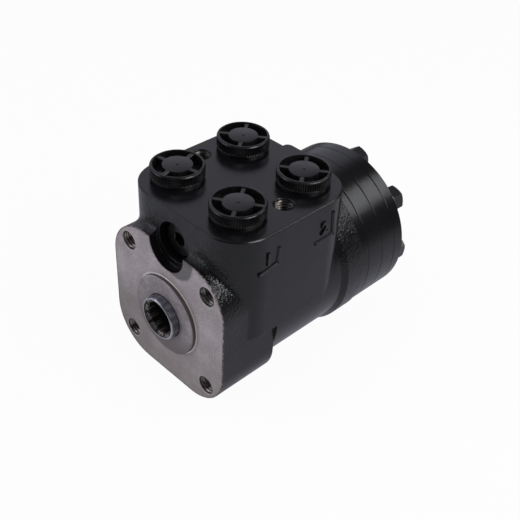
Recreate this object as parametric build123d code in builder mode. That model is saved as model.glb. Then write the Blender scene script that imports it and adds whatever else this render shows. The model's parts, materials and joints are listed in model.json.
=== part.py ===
from build123d import *
import os
from math import atan2, cos, pi, radians, sin, sqrt

os.makedirs("parts", exist_ok=True)

# An orbital steering unit: a rotary valve (a spool in a sleeve) meters oil to an orbiting gear set.
# Frame: the origin is the centre of the front mounting face, the shaft axis runs back along +Y,
# and the ports look up, along +Z. Lengths are in millimetres.

# ---- Casting ----------------------------------------------------------------------------------
HOUSING_LENGTH = 104.0        # front mounting face to the joint with the distributor plate
FLANGE_WIDTH = 82.8           # across the flats of the square front
FLANGE_CORNER = 24.0
FLANGE_DEPTH = 35.0           # how far the square front runs back
PILOT_RADIUS = 22.2
PILOT_HEIGHT = 2.15
PORT_FACE_HEIGHT = 60.0       # port face above the shaft axis
BLOCK_FRONT = 5.0             # front of the port block, behind the mounting face
BLOCK_BACK = 87.6
BLOCK_LEFT = 39.4             # side walls of the port block, from the shaft axis
BLOCK_RIGHT = 43.3
BLOCK_CORNER = 20.0
BLOCK_TOP_EDGE = 0.6          # machined edge of the port face
BARREL_RADIUS = 43.2
BARREL_END = 83.0
REAR_FLANGE_STEP = 0.65       # rough rear flange outside the turned stack
REAR_FLANGE_FRONT = 86.5
MACHINED_BAND = 5.5           # turned edge of the rear flange, next to the joint
BACK_RIB_WIDTH = 19.0         # upright rib down the back of the port block
BACK_RIB_DEPTH = 3.8
EAR_BLEND = 4.0               # ears of the square front into the port block

# ---- Mounting holes and ports -----------------------------------------------------------------
BOLT_CIRCLE = 82.55           # four tapped holes in the front
M10_RADIUS = 5.0
M10_DEPTH = 16.0
M10_COUNTERSINK = 0.45
PORT_SPACING = 43.2
PORT_FRONT_Y = 26.0
PORT_BACK_Y = 70.1
PORT_RADIUS = 10.48           # G 1/2 thread
PORT_DEPTH = 17.0
ACCESSORY_SPACING = 59.0      # two tapped holes between the ports
ACCESSORY_Y = 48.5

# ---- Stack behind the casting -------------------------------------------------------------------
STACK_RADIUS = 44.55
PLATE_THICKNESS = 11.2
GEAR_WIDTH = 10.7
COVER_THICKNESS = 7.2
EDGE_BREAK = 0.3
PLATE_BORE_RADIUS = 13.9
SCREW_COUNT = 7
SCREW_EDGE_DISTANCE = 9.55    # from the centres of the cover screws to the outside of the stack
SCREW_RADIUS = 3.95
SCREW_HOLE_CLEARANCE = 0.3
THREAD_CLEARANCE = 0.05       # between a thread's outside and its hole
SCREW_ENGAGEMENT = 14.0
SCREW_HEAD_FLATS = 13.0
SCREW_HEAD_HEIGHT = 8.6
SCREW_HEAD_BEVEL = 1.1
WASHER_RADIUS = 8.0
WASHER_THICKNESS = 1.6
SEAL_EDGE_DISTANCE = 3.2      # from the O-rings in the joints to the outside of the stack
SEAL_RING_SECTION = 0.9
SEAL_GROOVE_CLEARANCE = 0.1

# ---- Rotary valve ---------------------------------------------------------------------------------
MAIN_BORE_RADIUS = 19.0
BORE_SHOULDER = 9.6           # front end of the main bore
BORE_CHAMFER = 0.6
RUNNING_CLEARANCE = 0.08
SLEEVE_INNER_RADIUS = 14.0
SPOOL_NOSE = 6.6              # how far the spool stands out of the mounting face
NECK_RADIUS = 11.9
NECK_CHAMFER = 0.7
LIP_BORE_RADIUS = 10.7
SPLINE_TEETH = 12
SPLINE_ROOT_RADIUS = 10.15
SPLINE_TIP_RADIUS = 8.7
SPLINE_RECESS = 1.9           # from the spool's nose to the front of the teeth
SPLINE_LENGTH = 18.0
SPOOL_BORE_RADIUS = 10.6
SPOOL_BORE_FRONT = 22.0
CROSS_PIN_Y = 45.0
CROSS_PIN_RADIUS = 4.0
CROSS_PIN_INSET = 0.35        # pin ends below the sleeve's outside
SPOOL_TURN = 9.0              # degrees the spool turns in the sleeve, each way
SPRING_RING_LENGTH = 6.4
SPRING_RING_WALL = 1.3
LEAF_WIDTH = 5.8
LEAF_THICKNESS = 0.5
LEAF_ARCH = 1.4
LEAF_GAP = 0.02
METERING_HOLE_RADIUS = 1.4
METERING_SLOT_DEPTH = 1.3
METERING_SLOT_WIDTH = 3.2

# ---- Thrust bearing and shaft seals --------------------------------------------------------------
RACE_INNER_RADIUS = 12.5
RACE_OUTER_RADIUS = 18.5
OUTER_RACE_THICKNESS = 1.7
INNER_RACE_THICKNESS = 0.85
NEEDLE_COUNT = 16
NEEDLE_RADIUS = 1.0
NEEDLE_LENGTH = 4.2
CAGE_THICKNESS = 1.2
CAGE_MARGIN = 0.3
DUST_SEAL_FRONT = -0.9
DUST_SEAL_WIDTH = 2.2
DUST_SEAL_RADIUS = 14.0
SHAFT_SEAL_FRONT = 4.4
SHAFT_SEAL_RADIUS = 15.3
SHAFT_SEAL_WALL = 1.3
BACKUP_RING_SECTION = 0.92

# ---- Gear set -----------------------------------------------------------------------------------------
ECCENTRICITY = 3.7
RING_LOBES = SCREW_COUNT      # the cover screws pass through the lobes of the gear ring
LOBE_INSET = 1.5              # lobe centres inside the circle of the cover screws
LOBE_RADIUS = 6.5
GEAR_CLEARANCE = 0.08
ROTOR_SPLINE_ROOT = 10.0
ROTOR_SPLINE_TIP = 8.6
CARDAN_SPLINE_CLEARANCE = 0.3
CARDAN_SPLINE_LENGTH = 7.5
CARDAN_NECK_RADIUS = 6.4
CARDAN_HEAD_RADIUS = 9.4
FORK_LENGTH = 16.0
FORK_FRONT = 7.0              # fork ends ahead of the cross pin's axis
FORK_CLEARANCE = 0.2
SPACER_RADIUS = 7.6
SPACER_THICKNESS = 1.6
SPACER_CLEARANCE = 0.05
CARDAN_END_CLEARANCE = 0.5

# ---- Valves in the casting -----------------------------------------------------------------------------
RELIEF_HEIGHT = 42.0          # relief valve axis above the shaft axis
NOTCH_HEIGHT = 40.5
NOTCH_RADIUS = 12.65          # tool notch in the top edge of the square front
SPOTFACE_RADIUS = 10.7
SPOTFACE_Y = 13.2
RELIEF_PLUG_RADIUS = 9.1
RELIEF_PLUG_HEAD = 2.0
RELIEF_PLUG_THREAD = 7.0
RELIEF_PLUG_REACH = 10.0
RELIEF_PLUG_SEAL = 1.0
RELIEF_SOCKET_FLATS = 6.5
RELIEF_SOCKET_DEPTH = 5.0
RELIEF_BORE_RADIUS = 5.9
RELIEF_STEP_Y = 25.0          # end of the plug's thread
ADJUSTER_FRONT = 27.0
ADJUSTER_LENGTH = 9.0
RELIEF_SEAT_Y = 62.0
RELIEF_SEAT_RADIUS = 2.6
POPPET_LENGTH = 7.0
POPPET_CLEARANCE = 0.1
RELIEF_LIFT = 2.0
SPRING_WIRE_RADIUS = 0.95
SPRING_TURNS = 5.5
CROSS_DRILL_HEIGHT = 38.5
BALL_RADIUS = 3.5
BALL_SEAT_DEPTH = 31.0        # from the joint face to the seats of the ball valves
BALL_SEAT_RADIUS = 2.4
BALL_LIFT = 1.1
STOP_PIN_RADIUS = 1.4
BUSH_LENGTH = 5.5
BUSH_BORE_RADIUS = 2.2
SEAT_CLEARANCE = 0.02
GALLERY_RADIUS = 2.5
GALLERY_FLOOR = 6.0
GROOVE_WIDTH = 5.4
GROOVE_DEPTH = 3.5
LEFT_GROOVE_Y = 31.5          # oil grooves in the main bore
RIGHT_GROOVE_Y = 24.0
PUMP_GROOVE_Y = 65.1
TANK_GROOVE_Y = 75.1
OUTER_GALLERY_X = 23.4
PUMP_GALLERY_X = 21.0
PASSAGE_INSET = 6.5           # passages to the gear chambers, inside the circle of the cover screws
PASSAGE_RADIUS = 2.2
FEED_DEPTH = 11.0             # from the joint face to the row of holes that feeds the gear set

# ---- Port plugs --------------------------------------------------------------------------------------------
CAP_RADIUS = 13.8
CAP_HEIGHT = 7.6
CAP_RIM = 1.6
CAP_HUB_RADIUS = 7.7
CAP_SPOKE_WIDTH = 2.3
CAP_WINDOW_DEPTH = 5.0
CAP_EDGE = 0.5
CAP_STEM_LENGTH = 12.0
CAP_STEM_WALL = 1.8
CAP_THREAD_CLEARANCE = 0.1

# ---- Worked out from the sizes above -------------------------------------------------------------------------
REAR_FLANGE_RADIUS = STACK_RADIUS + REAR_FLANGE_STEP
SCREW_CIRCLE_RADIUS = STACK_RADIUS - SCREW_EDGE_DISTANCE
SEAL_RING_RADIUS = STACK_RADIUS - SEAL_EDGE_DISTANCE
LOBE_CIRCLE_RADIUS = SCREW_CIRCLE_RADIUS - LOBE_INSET
PASSAGE_CIRCLE_RADIUS = SCREW_CIRCLE_RADIUS - PASSAGE_INSET
BALL_SEAT_Y = HOUSING_LENGTH - BALL_SEAT_DEPTH
FEED_Y = HOUSING_LENGTH - FEED_DEPTH
PLATE_FRONT = HOUSING_LENGTH
GEAR_FRONT = PLATE_FRONT + PLATE_THICKNESS
COVER_FRONT = GEAR_FRONT + GEAR_WIDTH
COVER_BACK = COVER_FRONT + COVER_THICKNESS
SCREW_TIP = HOUSING_LENGTH - SCREW_ENGAGEMENT
BOLT_SPACING = BOLT_CIRCLE / sqrt(2)
SLEEVE_RADIUS = MAIN_BORE_RADIUS - RUNNING_CLEARANCE
SPOOL_RADIUS = SLEEVE_INNER_RADIUS - RUNNING_CLEARANCE
FRONT_BORE_RADIUS = NECK_RADIUS + 3 * RUNNING_CLEARANCE
SEAL_LIP_RADIUS = NECK_RADIUS + RUNNING_CLEARANCE
DUST_SEAL_BACK = DUST_SEAL_FRONT + DUST_SEAL_WIDTH
NEEDLE_FRONT = BORE_SHOULDER + OUTER_RACE_THICKNESS + RUNNING_CLEARANCE / 2
NEEDLE_BACK = NEEDLE_FRONT + 2 * NEEDLE_RADIUS
INNER_RACE_FRONT = NEEDLE_BACK + RUNNING_CLEARANCE / 2
SLEEVE_FRONT = INNER_RACE_FRONT + INNER_RACE_THICKNESS
SLEEVE_BACK = HOUSING_LENGTH - 0.4
SPOOL_BACK = HOUSING_LENGTH - 0.6
RING_SEAT_RADIUS = SLEEVE_RADIUS - SPRING_RING_WALL
LEAF_FRONT = SLEEVE_FRONT + (SPRING_RING_LENGTH - LEAF_WIDTH) / 2
LEAF_STACK = 3 * LEAF_THICKNESS + 2 * LEAF_GAP + LEAF_ARCH
SLOT_HALF_HEIGHT = LEAF_STACK + RUNNING_CLEARANCE
GEAR_MIDDLE = GEAR_FRONT + GEAR_WIDTH / 2
TILT = atan2(ECCENTRICITY, GEAR_MIDDLE - CROSS_PIN_Y)
CARDAN_END = COVER_FRONT - SPACER_THICKNESS - SPACER_CLEARANCE - CARDAN_END_CLEARANCE
BALL_CENTRE = BALL_SEAT_Y + sqrt(BALL_RADIUS**2 - BALL_SEAT_RADIUS**2) + SEAT_CLEARANCE
STOP_PIN_FRONT = BALL_CENTRE + BALL_RADIUS + BALL_LIFT + SEAT_CLEARANCE
VALVE_BORE_RADIUS = SCREW_RADIUS + THREAD_CLEARANCE

# cover screw holes, counted from the top one: some run on to a ball valve
CHECK_HOLE = 0
SUCTION_HOLES = {"right": 1, "left": SCREW_COUNT - 1}
BALL_PASSAGE_ENDS = {CHECK_HOLE: PUMP_GROOVE_Y, 1: RIGHT_GROOVE_Y, SCREW_COUNT - 1: LEFT_GROOVE_Y}

# each port: X and Y of its centre, X of its gallery, and Y of the oil groove that the gallery meets
PORTS = {
    "right_front": (PORT_SPACING / 2, PORT_FRONT_Y, OUTER_GALLERY_X, RIGHT_GROOVE_Y),
    "left_front": (-PORT_SPACING / 2, PORT_FRONT_Y, -OUTER_GALLERY_X, LEFT_GROOVE_Y),
    "right_back": (PORT_SPACING / 2, PORT_BACK_Y, PUMP_GALLERY_X, PUMP_GROOVE_Y),
    "left_back": (-PORT_SPACING / 2, PORT_BACK_Y, -OUTER_GALLERY_X, TANK_GROOVE_Y),
}
CAP_TURNS = {"right_front": 34.0, "left_front": 13.0, "right_back": 36.5, "left_back": 37.0}


def station(y):
    """Plane across the shaft axis: local x is +X, local y is +Z, and a negative extrusion runs back."""
    return Plane.XZ.offset(-y)


def around(angle, y):
    """Plane whose normal points away from the shaft axis, at an angle from +X towards +Z."""
    turn = radians(angle)
    return Plane(origin=(0, y, 0), x_dir=(0, 1, 0), z_dir=(cos(turn), 0, sin(turn)))


def screw_angle(index):
    return 90 - index * 360 / SCREW_COUNT


def screw_centre(index, radius=SCREW_CIRCLE_RADIUS):
    """X and Z of a cover screw, counted clockwise from the top one."""
    turn = radians(screw_angle(index))
    return (radius * cos(turn), radius * sin(turn))


def spline_outline(root, tip, teeth=SPLINE_TEETH):
    """Corners of an internal spline: nearly pointed roots outside and flat tooth tips inside."""
    pitch = 2 * pi / teeth
    root_half, tip_half = 0.05 * pitch, 0.21 * pitch
    points = []
    for tooth in range(teeth):
        root_turn = tooth * pitch + pi / 2
        tip_turn = root_turn + pitch / 2
        for radius, turn in (
            (root, root_turn - root_half),
            (root, root_turn + root_half),
            (tip, tip_turn - tip_half),
            (tip, tip_turn + tip_half),
        ):
            points.append((radius * cos(turn), radius * sin(turn)))
    return points


def rotor_point(turn):
    """Point of the rotor's outline, about its own centre, with one valley straight up."""
    lobe = LOBE_RADIUS + GEAR_CLEARANCE
    drift = turn * (1 - RING_LOBES)
    lean = atan2(sin(drift), LOBE_CIRCLE_RADIUS / (ECCENTRICITY * RING_LOBES) - cos(drift))
    u = LOBE_CIRCLE_RADIUS * cos(turn) - lobe * cos(turn + lean) - ECCENTRICITY * cos(RING_LOBES * turn)
    v = LOBE_CIRCLE_RADIUS * sin(turn) - lobe * sin(turn + lean) - ECCENTRICITY * sin(RING_LOBES * turn)
    return (v, u)


def finish(part, name):
    """Name a finished piece and write its file."""
    part.label = name
    export_step(part, f"parts/{name}.step")


# ---- Housing ---------------------------------------------------------------------------------------------------
BLOCK_CENTRE = ((BLOCK_RIGHT - BLOCK_LEFT) / 2, (BLOCK_FRONT + BLOCK_BACK) / 2)

with BuildPart() as housing:
    # square front and port block, blended where the ears of the front run into the block
    with BuildSketch(station(0)):
        RectangleRounded(FLANGE_WIDTH, FLANGE_WIDTH, FLANGE_CORNER)
    extrude(amount=-FLANGE_DEPTH)
    with BuildSketch(Plane.XY):
        with Locations(BLOCK_CENTRE):
            RectangleRounded(BLOCK_LEFT + BLOCK_RIGHT, BLOCK_BACK - BLOCK_FRONT, BLOCK_CORNER)
    extrude(amount=PORT_FACE_HEIGHT)
    fillet(housing.edges().filter_by(GeomType.BSPLINE), radius=EAR_BLEND)
    # rib down the middle of the block's back
    with BuildSketch(Plane.XY):
        with Locations((0, BLOCK_BACK)):
            RectangleRounded(BACK_RIB_WIDTH, 2 * BACK_RIB_DEPTH, 0.95 * BACK_RIB_DEPTH)
    extrude(amount=PORT_FACE_HEIGHT)
    chamfer(housing.faces().sort_by(Axis.Z)[-1].outer_wire().edges(), length=BLOCK_TOP_EDGE)
    # barrel round the rotary valve, and the round rear flange with its turned edge
    with BuildSketch(Plane.YZ):
        with BuildLine():
            Polyline(
                (FLANGE_DEPTH, 0),
                (FLANGE_DEPTH, BARREL_RADIUS),
                (BARREL_END, BARREL_RADIUS),
                (REAR_FLANGE_FRONT, REAR_FLANGE_RADIUS),
                (HOUSING_LENGTH - MACHINED_BAND, REAR_FLANGE_RADIUS),
                (HOUSING_LENGTH - MACHINED_BAND, STACK_RADIUS),
                (HOUSING_LENGTH - EDGE_BREAK, STACK_RADIUS),
                (HOUSING_LENGTH, STACK_RADIUS - EDGE_BREAK),
                (HOUSING_LENGTH, 0),
                close=True,
            )
        make_face()
    revolve(axis=Axis.Y)
    # pilot boss
    with BuildSketch(station(0)):
        Circle(PILOT_RADIUS)
    extrude(amount=PILOT_HEIGHT)
    # main bore, stepped down at the front for the thrust bearing, the shaft seal and the dust seal
    with BuildSketch(Plane.YZ):
        with BuildLine():
            Polyline(
                (-PILOT_HEIGHT, 0),
                (-PILOT_HEIGHT, FRONT_BORE_RADIUS),
                (DUST_SEAL_FRONT, FRONT_BORE_RADIUS),
                (DUST_SEAL_FRONT, DUST_SEAL_RADIUS),
                (DUST_SEAL_BACK, DUST_SEAL_RADIUS),
                (DUST_SEAL_BACK, FRONT_BORE_RADIUS),
                (SHAFT_SEAL_FRONT, FRONT_BORE_RADIUS),
                (SHAFT_SEAL_FRONT, SHAFT_SEAL_RADIUS),
                (BORE_SHOULDER, SHAFT_SEAL_RADIUS),
                (BORE_SHOULDER, MAIN_BORE_RADIUS),
                (HOUSING_LENGTH - BORE_CHAMFER, MAIN_BORE_RADIUS),
                (HOUSING_LENGTH, MAIN_BORE_RADIUS + BORE_CHAMFER),
                (HOUSING_LENGTH, 0),
                close=True,
            )
        make_face()
    revolve(axis=Axis.Y, mode=Mode.SUBTRACT)
    # ports, the oil groove of each one in the main bore, and the gallery between them
    for port_x, port_y, gallery_x, groove_y in PORTS.values():
        with BuildSketch(Plane.XY.offset(PORT_FACE_HEIGHT)):
            with Locations((port_x, port_y)):
                Circle(PORT_RADIUS)
        extrude(amount=-PORT_DEPTH, mode=Mode.SUBTRACT)
        with BuildSketch(Plane.XY.offset(PORT_FACE_HEIGHT - PORT_DEPTH)):
            with Locations((gallery_x, groove_y)):
                Circle(GALLERY_RADIUS)
        extrude(amount=GALLERY_FLOOR + PORT_DEPTH - PORT_FACE_HEIGHT, mode=Mode.SUBTRACT)
        with BuildSketch(station(groove_y - GROOVE_WIDTH / 2)):
            Circle(MAIN_BORE_RADIUS + GROOVE_DEPTH)
        extrude(amount=-GROOVE_WIDTH, mode=Mode.SUBTRACT)
    # tapped holes in the front and between the ports, with countersunk mouths
    with Locations(station(0)):
        with GridLocations(BOLT_SPACING, BOLT_SPACING, 2, 2):
            CounterSinkHole(M10_RADIUS, M10_RADIUS + M10_COUNTERSINK, M10_DEPTH, 90)
    with Locations(Plane.XY.offset(PORT_FACE_HEIGHT)):
        with Locations((-ACCESSORY_SPACING / 2, ACCESSORY_Y), (ACCESSORY_SPACING / 2, ACCESSORY_Y)):
            CounterSinkHole(M10_RADIUS, M10_RADIUS + M10_COUNTERSINK, M10_DEPTH, 90)
    # tool notch, spot face and stepped bore of the relief valve, which opens to the front
    for axis_height, radius, bore_front, bore_back in (
        (NOTCH_HEIGHT, NOTCH_RADIUS, 0, BLOCK_FRONT),
        (RELIEF_HEIGHT, SPOTFACE_RADIUS, 0, SPOTFACE_Y),
        (RELIEF_HEIGHT, RELIEF_PLUG_THREAD + THREAD_CLEARANCE, SPOTFACE_Y, RELIEF_STEP_Y),
        (RELIEF_HEIGHT, RELIEF_BORE_RADIUS, RELIEF_STEP_Y, RELIEF_SEAT_Y),
        (RELIEF_HEIGHT, RELIEF_SEAT_RADIUS, RELIEF_SEAT_Y, PUMP_GROOVE_Y + GALLERY_RADIUS),
    ):
        with BuildSketch(station(bore_front)):
            with Locations((0, axis_height)):
                Circle(radius)
        extrude(amount=bore_front - bore_back, mode=Mode.SUBTRACT)
    # cross drilling from the pump gallery to the relief valve and the check valve
    with BuildSketch(Plane.YZ):
        with Locations((PUMP_GROOVE_Y, CROSS_DRILL_HEIGHT)):
            Circle(BALL_SEAT_RADIUS)
    extrude(amount=PUMP_GALLERY_X, mode=Mode.SUBTRACT)
    # tapped holes of the cover screws, three of which run on to a ball valve
    for index in range(SCREW_COUNT):
        bore_end = BALL_SEAT_Y if index in BALL_PASSAGE_ENDS else SCREW_TIP - SCREW_RADIUS / 2
        with BuildSketch(station(HOUSING_LENGTH)):
            with Locations(screw_centre(index)):
                Circle(VALVE_BORE_RADIUS)
        extrude(amount=HOUSING_LENGTH - bore_end, mode=Mode.SUBTRACT)
    for index, passage_end in BALL_PASSAGE_ENDS.items():
        with BuildSketch(station(BALL_SEAT_Y)):
            with Locations(screw_centre(index)):
                Circle(BALL_SEAT_RADIUS)
        extrude(amount=BALL_SEAT_Y - passage_end, mode=Mode.SUBTRACT)
    # passages from the main bore to the gear chambers, drilled at a slant from the rear face
    for index in range(SCREW_COUNT):
        x, z = screw_centre(index + 0.5, PASSAGE_CIRCLE_RADIUS)
        inlet_x, inlet_z = screw_centre(index + 0.5, MAIN_BORE_RADIUS)
        drilling = Vector(x - inlet_x, HOUSING_LENGTH - FEED_Y, z - inlet_z)
        mouth = Vector(x, HOUSING_LENGTH, z) + drilling.normalized() * PASSAGE_RADIUS
        with BuildSketch(Plane(origin=mouth, z_dir=-drilling)):
            Circle(PASSAGE_RADIUS)
        extrude(amount=drilling.length + 2 * PASSAGE_RADIUS, mode=Mode.SUBTRACT)
finish(housing.part, "housing")


# ---- Discs of the stack ------------------------------------------------------------------------------------------
def stack_disc(front, thickness):
    """Plain turned disc of the stack with its edges broken."""
    with BuildPart() as disc:
        with BuildSketch(station(front)):
            Circle(STACK_RADIUS)
        extrude(amount=-thickness)
        chamfer(disc.edges(), length=EDGE_BREAK)
    return disc.part


def cut_screw_holes(front, thickness):
    """Clearance holes of the cover screws, cut in the part that is being built."""
    with BuildSketch(station(front)) as holes:
        for index in range(SCREW_COUNT):
            with Locations(screw_centre(index)):
                Circle(SCREW_RADIUS + SCREW_HOLE_CLEARANCE)
    extrude(holes.sketch, amount=-thickness, mode=Mode.SUBTRACT)


def cut_seal_groove(face, direction):
    """O-ring groove in a face of the part that is being built; direction is -1 to cut towards +Y."""
    with BuildSketch(station(face)) as groove:
        Circle(SEAL_RING_RADIUS + SEAL_RING_SECTION + SEAL_GROOVE_CLEARANCE)
        Circle(SEAL_RING_RADIUS - SEAL_RING_SECTION - SEAL_GROOVE_CLEARANCE, mode=Mode.SUBTRACT)
    depth = 2 * SEAL_RING_SECTION + SEAL_GROOVE_CLEARANCE
    extrude(groove.sketch, amount=direction * depth, mode=Mode.SUBTRACT)


with BuildPart() as distributor_plate:
    add(stack_disc(PLATE_FRONT, PLATE_THICKNESS))
    with BuildSketch(station(PLATE_FRONT)):
        Circle(PLATE_BORE_RADIUS)
        for index in range(SCREW_COUNT):
            with Locations(screw_centre(index + 0.5, PASSAGE_CIRCLE_RADIUS)):
                Circle(PASSAGE_RADIUS)
    extrude(amount=-PLATE_THICKNESS, mode=Mode.SUBTRACT)
    cut_screw_holes(PLATE_FRONT, PLATE_THICKNESS)
    cut_seal_groove(PLATE_FRONT, -1)
    cut_seal_groove(GEAR_FRONT, 1)
finish(distributor_plate.part, "distributor_plate")

with BuildPart() as gear_ring:
    add(stack_disc(GEAR_FRONT, GEAR_WIDTH))
    with BuildSketch(station(GEAR_FRONT)):
        Circle(LOBE_CIRCLE_RADIUS - LOBE_RADIUS + 2 * ECCENTRICITY + GEAR_CLEARANCE)
        for index in range(RING_LOBES):
            with Locations(screw_centre(index, LOBE_CIRCLE_RADIUS)):
                Circle(LOBE_RADIUS, mode=Mode.SUBTRACT)
    extrude(amount=-GEAR_WIDTH, mode=Mode.SUBTRACT)
    cut_screw_holes(GEAR_FRONT, GEAR_WIDTH)
finish(gear_ring.part, "gear_ring")

with BuildPart() as end_cover:
    add(stack_disc(COVER_FRONT, COVER_THICKNESS))
    cut_screw_holes(COVER_FRONT, COVER_THICKNESS)
    cut_seal_groove(COVER_FRONT, -1)
finish(end_cover.part, "end_cover")

with BuildPart() as stack_seal_rings:
    for groove_middle in (
        PLATE_FRONT + SEAL_RING_SECTION,
        GEAR_FRONT - SEAL_RING_SECTION,
        COVER_FRONT + SEAL_RING_SECTION,
    ):
        with BuildSketch(Plane.YZ):
            with Locations((groove_middle, SEAL_RING_RADIUS)):
                Circle(SEAL_RING_SECTION)
        revolve(axis=Axis.Y)
finish(stack_seal_rings.part, "stack_seal_rings")


# ---- Cover screws and washers ---------------------------------------------------------------------------------------
HEAD_FRONT = COVER_BACK + WASHER_THICKNESS
HEAD_BACK = HEAD_FRONT + SCREW_HEAD_HEIGHT

with BuildPart() as plain_screw:
    with BuildSketch(station(HEAD_FRONT)):
        RegularPolygon(SCREW_HEAD_FLATS / 2, 6, major_radius=False)
    extrude(amount=-SCREW_HEAD_HEIGHT)
    with BuildSketch(Plane.YZ):
        with BuildLine():
            Polyline(
                (HEAD_FRONT, 0),
                (HEAD_FRONT, SCREW_HEAD_FLATS),
                (HEAD_BACK - SCREW_HEAD_BEVEL, SCREW_HEAD_FLATS / 2 + SCREW_HEAD_BEVEL),
                (HEAD_BACK, SCREW_HEAD_FLATS / 2 - SCREW_HEAD_BEVEL / 2),
                (HEAD_BACK, 0),
                close=True,
            )
        make_face()
    revolve(axis=Axis.Y, mode=Mode.INTERSECT)
    with BuildSketch(station(SCREW_TIP)):
        Circle(SCREW_RADIUS)
    extrude(amount=SCREW_TIP - HEAD_FRONT)

with BuildPart() as pin_screw_blank:
    add(plain_screw.part)
    with BuildSketch(station(STOP_PIN_FRONT)):
        Circle(STOP_PIN_RADIUS)
    extrude(amount=STOP_PIN_FRONT - SCREW_TIP)

with BuildPart() as cover_screws:
    for index in range(SCREW_COUNT):
        if index != CHECK_HOLE:
            x, z = screw_centre(index)
            with Locations((x, 0, z)):
                add(plain_screw.part, rotation=(0, index * 17, 0))
finish(cover_screws.part, "cover_screws")

with BuildPart() as pin_screw:
    x, z = screw_centre(CHECK_HOLE)
    with Locations((x, 0, z)):
        add(pin_screw_blank.part, rotation=(0, 24, 0))
finish(pin_screw.part, "pin_screw")

with BuildPart() as cover_washers:
    with BuildSketch(station(COVER_BACK)):
        for index in range(SCREW_COUNT):
            with Locations(screw_centre(index)):
                Circle(WASHER_RADIUS)
                Circle(SCREW_RADIUS + SCREW_HOLE_CLEARANCE, mode=Mode.SUBTRACT)
    extrude(amount=-WASHER_THICKNESS)
finish(cover_washers.part, "cover_washers")


# ---- Shaft seals and thrust bearing ------------------------------------------------------------------------------------
def turned_ring(front, back, inner, outer):
    """Plain ring about the shaft axis."""
    with BuildPart() as ring:
        with BuildSketch(station(front)):
            Circle(outer)
            Circle(inner, mode=Mode.SUBTRACT)
        extrude(amount=front - back)
    return ring.part


with BuildPart() as dust_seal:
    with BuildSketch(Plane.YZ):
        with BuildLine():
            Polyline(
                (DUST_SEAL_FRONT, FRONT_BORE_RADIUS),
                (DUST_SEAL_FRONT, DUST_SEAL_RADIUS),
                (DUST_SEAL_BACK, DUST_SEAL_RADIUS),
                (DUST_SEAL_BACK, FRONT_BORE_RADIUS + DUST_SEAL_WIDTH / 4),
                (DUST_SEAL_FRONT + DUST_SEAL_WIDTH / 3, SEAL_LIP_RADIUS),
                (DUST_SEAL_FRONT + DUST_SEAL_WIDTH / 6, SEAL_LIP_RADIUS),
                close=True,
            )
        make_face()
    revolve(axis=Axis.Y)
finish(dust_seal.part, "dust_seal")

finish(
    turned_ring(
        SHAFT_SEAL_FRONT + RUNNING_CLEARANCE,
        BORE_SHOULDER - RUNNING_CLEARANCE,
        SEAL_LIP_RADIUS,
        SEAL_LIP_RADIUS + SHAFT_SEAL_WALL,
    ),
    "shaft_seal",
)

with BuildPart() as shaft_seal_ring:
    with BuildSketch(Plane.YZ):
        ring_middle = SHAFT_SEAL_RADIUS - SEAT_CLEARANCE - BACKUP_RING_SECTION
        with Locations(((SHAFT_SEAL_FRONT + BORE_SHOULDER) / 2, ring_middle)):
            Circle(BACKUP_RING_SECTION)
    revolve(axis=Axis.Y)
finish(shaft_seal_ring.part, "shaft_seal_ring")

finish(
    turned_ring(BORE_SHOULDER, BORE_SHOULDER + OUTER_RACE_THICKNESS, RACE_INNER_RADIUS, RACE_OUTER_RADIUS),
    "outer_race",
)
finish(
    turned_ring(INNER_RACE_FRONT, SLEEVE_FRONT, RACE_INNER_RADIUS, RACE_OUTER_RADIUS),
    "inner_race",
)

NEEDLE_MIDDLE_RADIUS = (RACE_INNER_RADIUS + RACE_OUTER_RADIUS) / 2
NEEDLE_Y = (NEEDLE_FRONT + NEEDLE_BACK) / 2
NEEDLE_START = NEEDLE_MIDDLE_RADIUS - NEEDLE_LENGTH / 2

with BuildPart() as thrust_cage:
    with BuildSketch(station(NEEDLE_Y - CAGE_THICKNESS / 2)):
        Circle(RACE_OUTER_RADIUS - CAGE_MARGIN)
        Circle(RACE_INNER_RADIUS + CAGE_MARGIN, mode=Mode.SUBTRACT)
        with PolarLocations(NEEDLE_MIDDLE_RADIUS, NEEDLE_COUNT):
            Rectangle(
                NEEDLE_LENGTH + RUNNING_CLEARANCE,
                2 * (NEEDLE_RADIUS + RUNNING_CLEARANCE),
                mode=Mode.SUBTRACT,
            )
    extrude(amount=-CAGE_THICKNESS)
finish(thrust_cage.part, "thrust_cage")

with BuildPart() as thrust_needles:
    for needle in range(NEEDLE_COUNT):
        with BuildSketch(around(needle * 360 / NEEDLE_COUNT, NEEDLE_Y).offset(NEEDLE_START)):
            Circle(NEEDLE_RADIUS)
        extrude(amount=NEEDLE_LENGTH)
finish(thrust_needles.part, "thrust_needles")


# ---- Rotary valve --------------------------------------------------------------------------------------------------------
def cut_through(width, front, length):
    """Slot for the leaf springs across the part that is being built, along X."""
    with BuildSketch(station(front)) as slot:
        Rectangle(4 * MAIN_BORE_RADIUS, width)
    extrude(slot.sketch, amount=-length, mode=Mode.SUBTRACT)


def cut_radial_holes(radius, y, angles):
    """Round holes from the shaft axis outwards in the part that is being built."""
    for angle in angles:
        with BuildSketch(around(angle, y)) as hole:
            Circle(radius)
        extrude(hole.sketch, amount=2 * MAIN_BORE_RADIUS, mode=Mode.SUBTRACT)


SIX_WAYS = [15 + 60 * k for k in range(6)]

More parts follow.
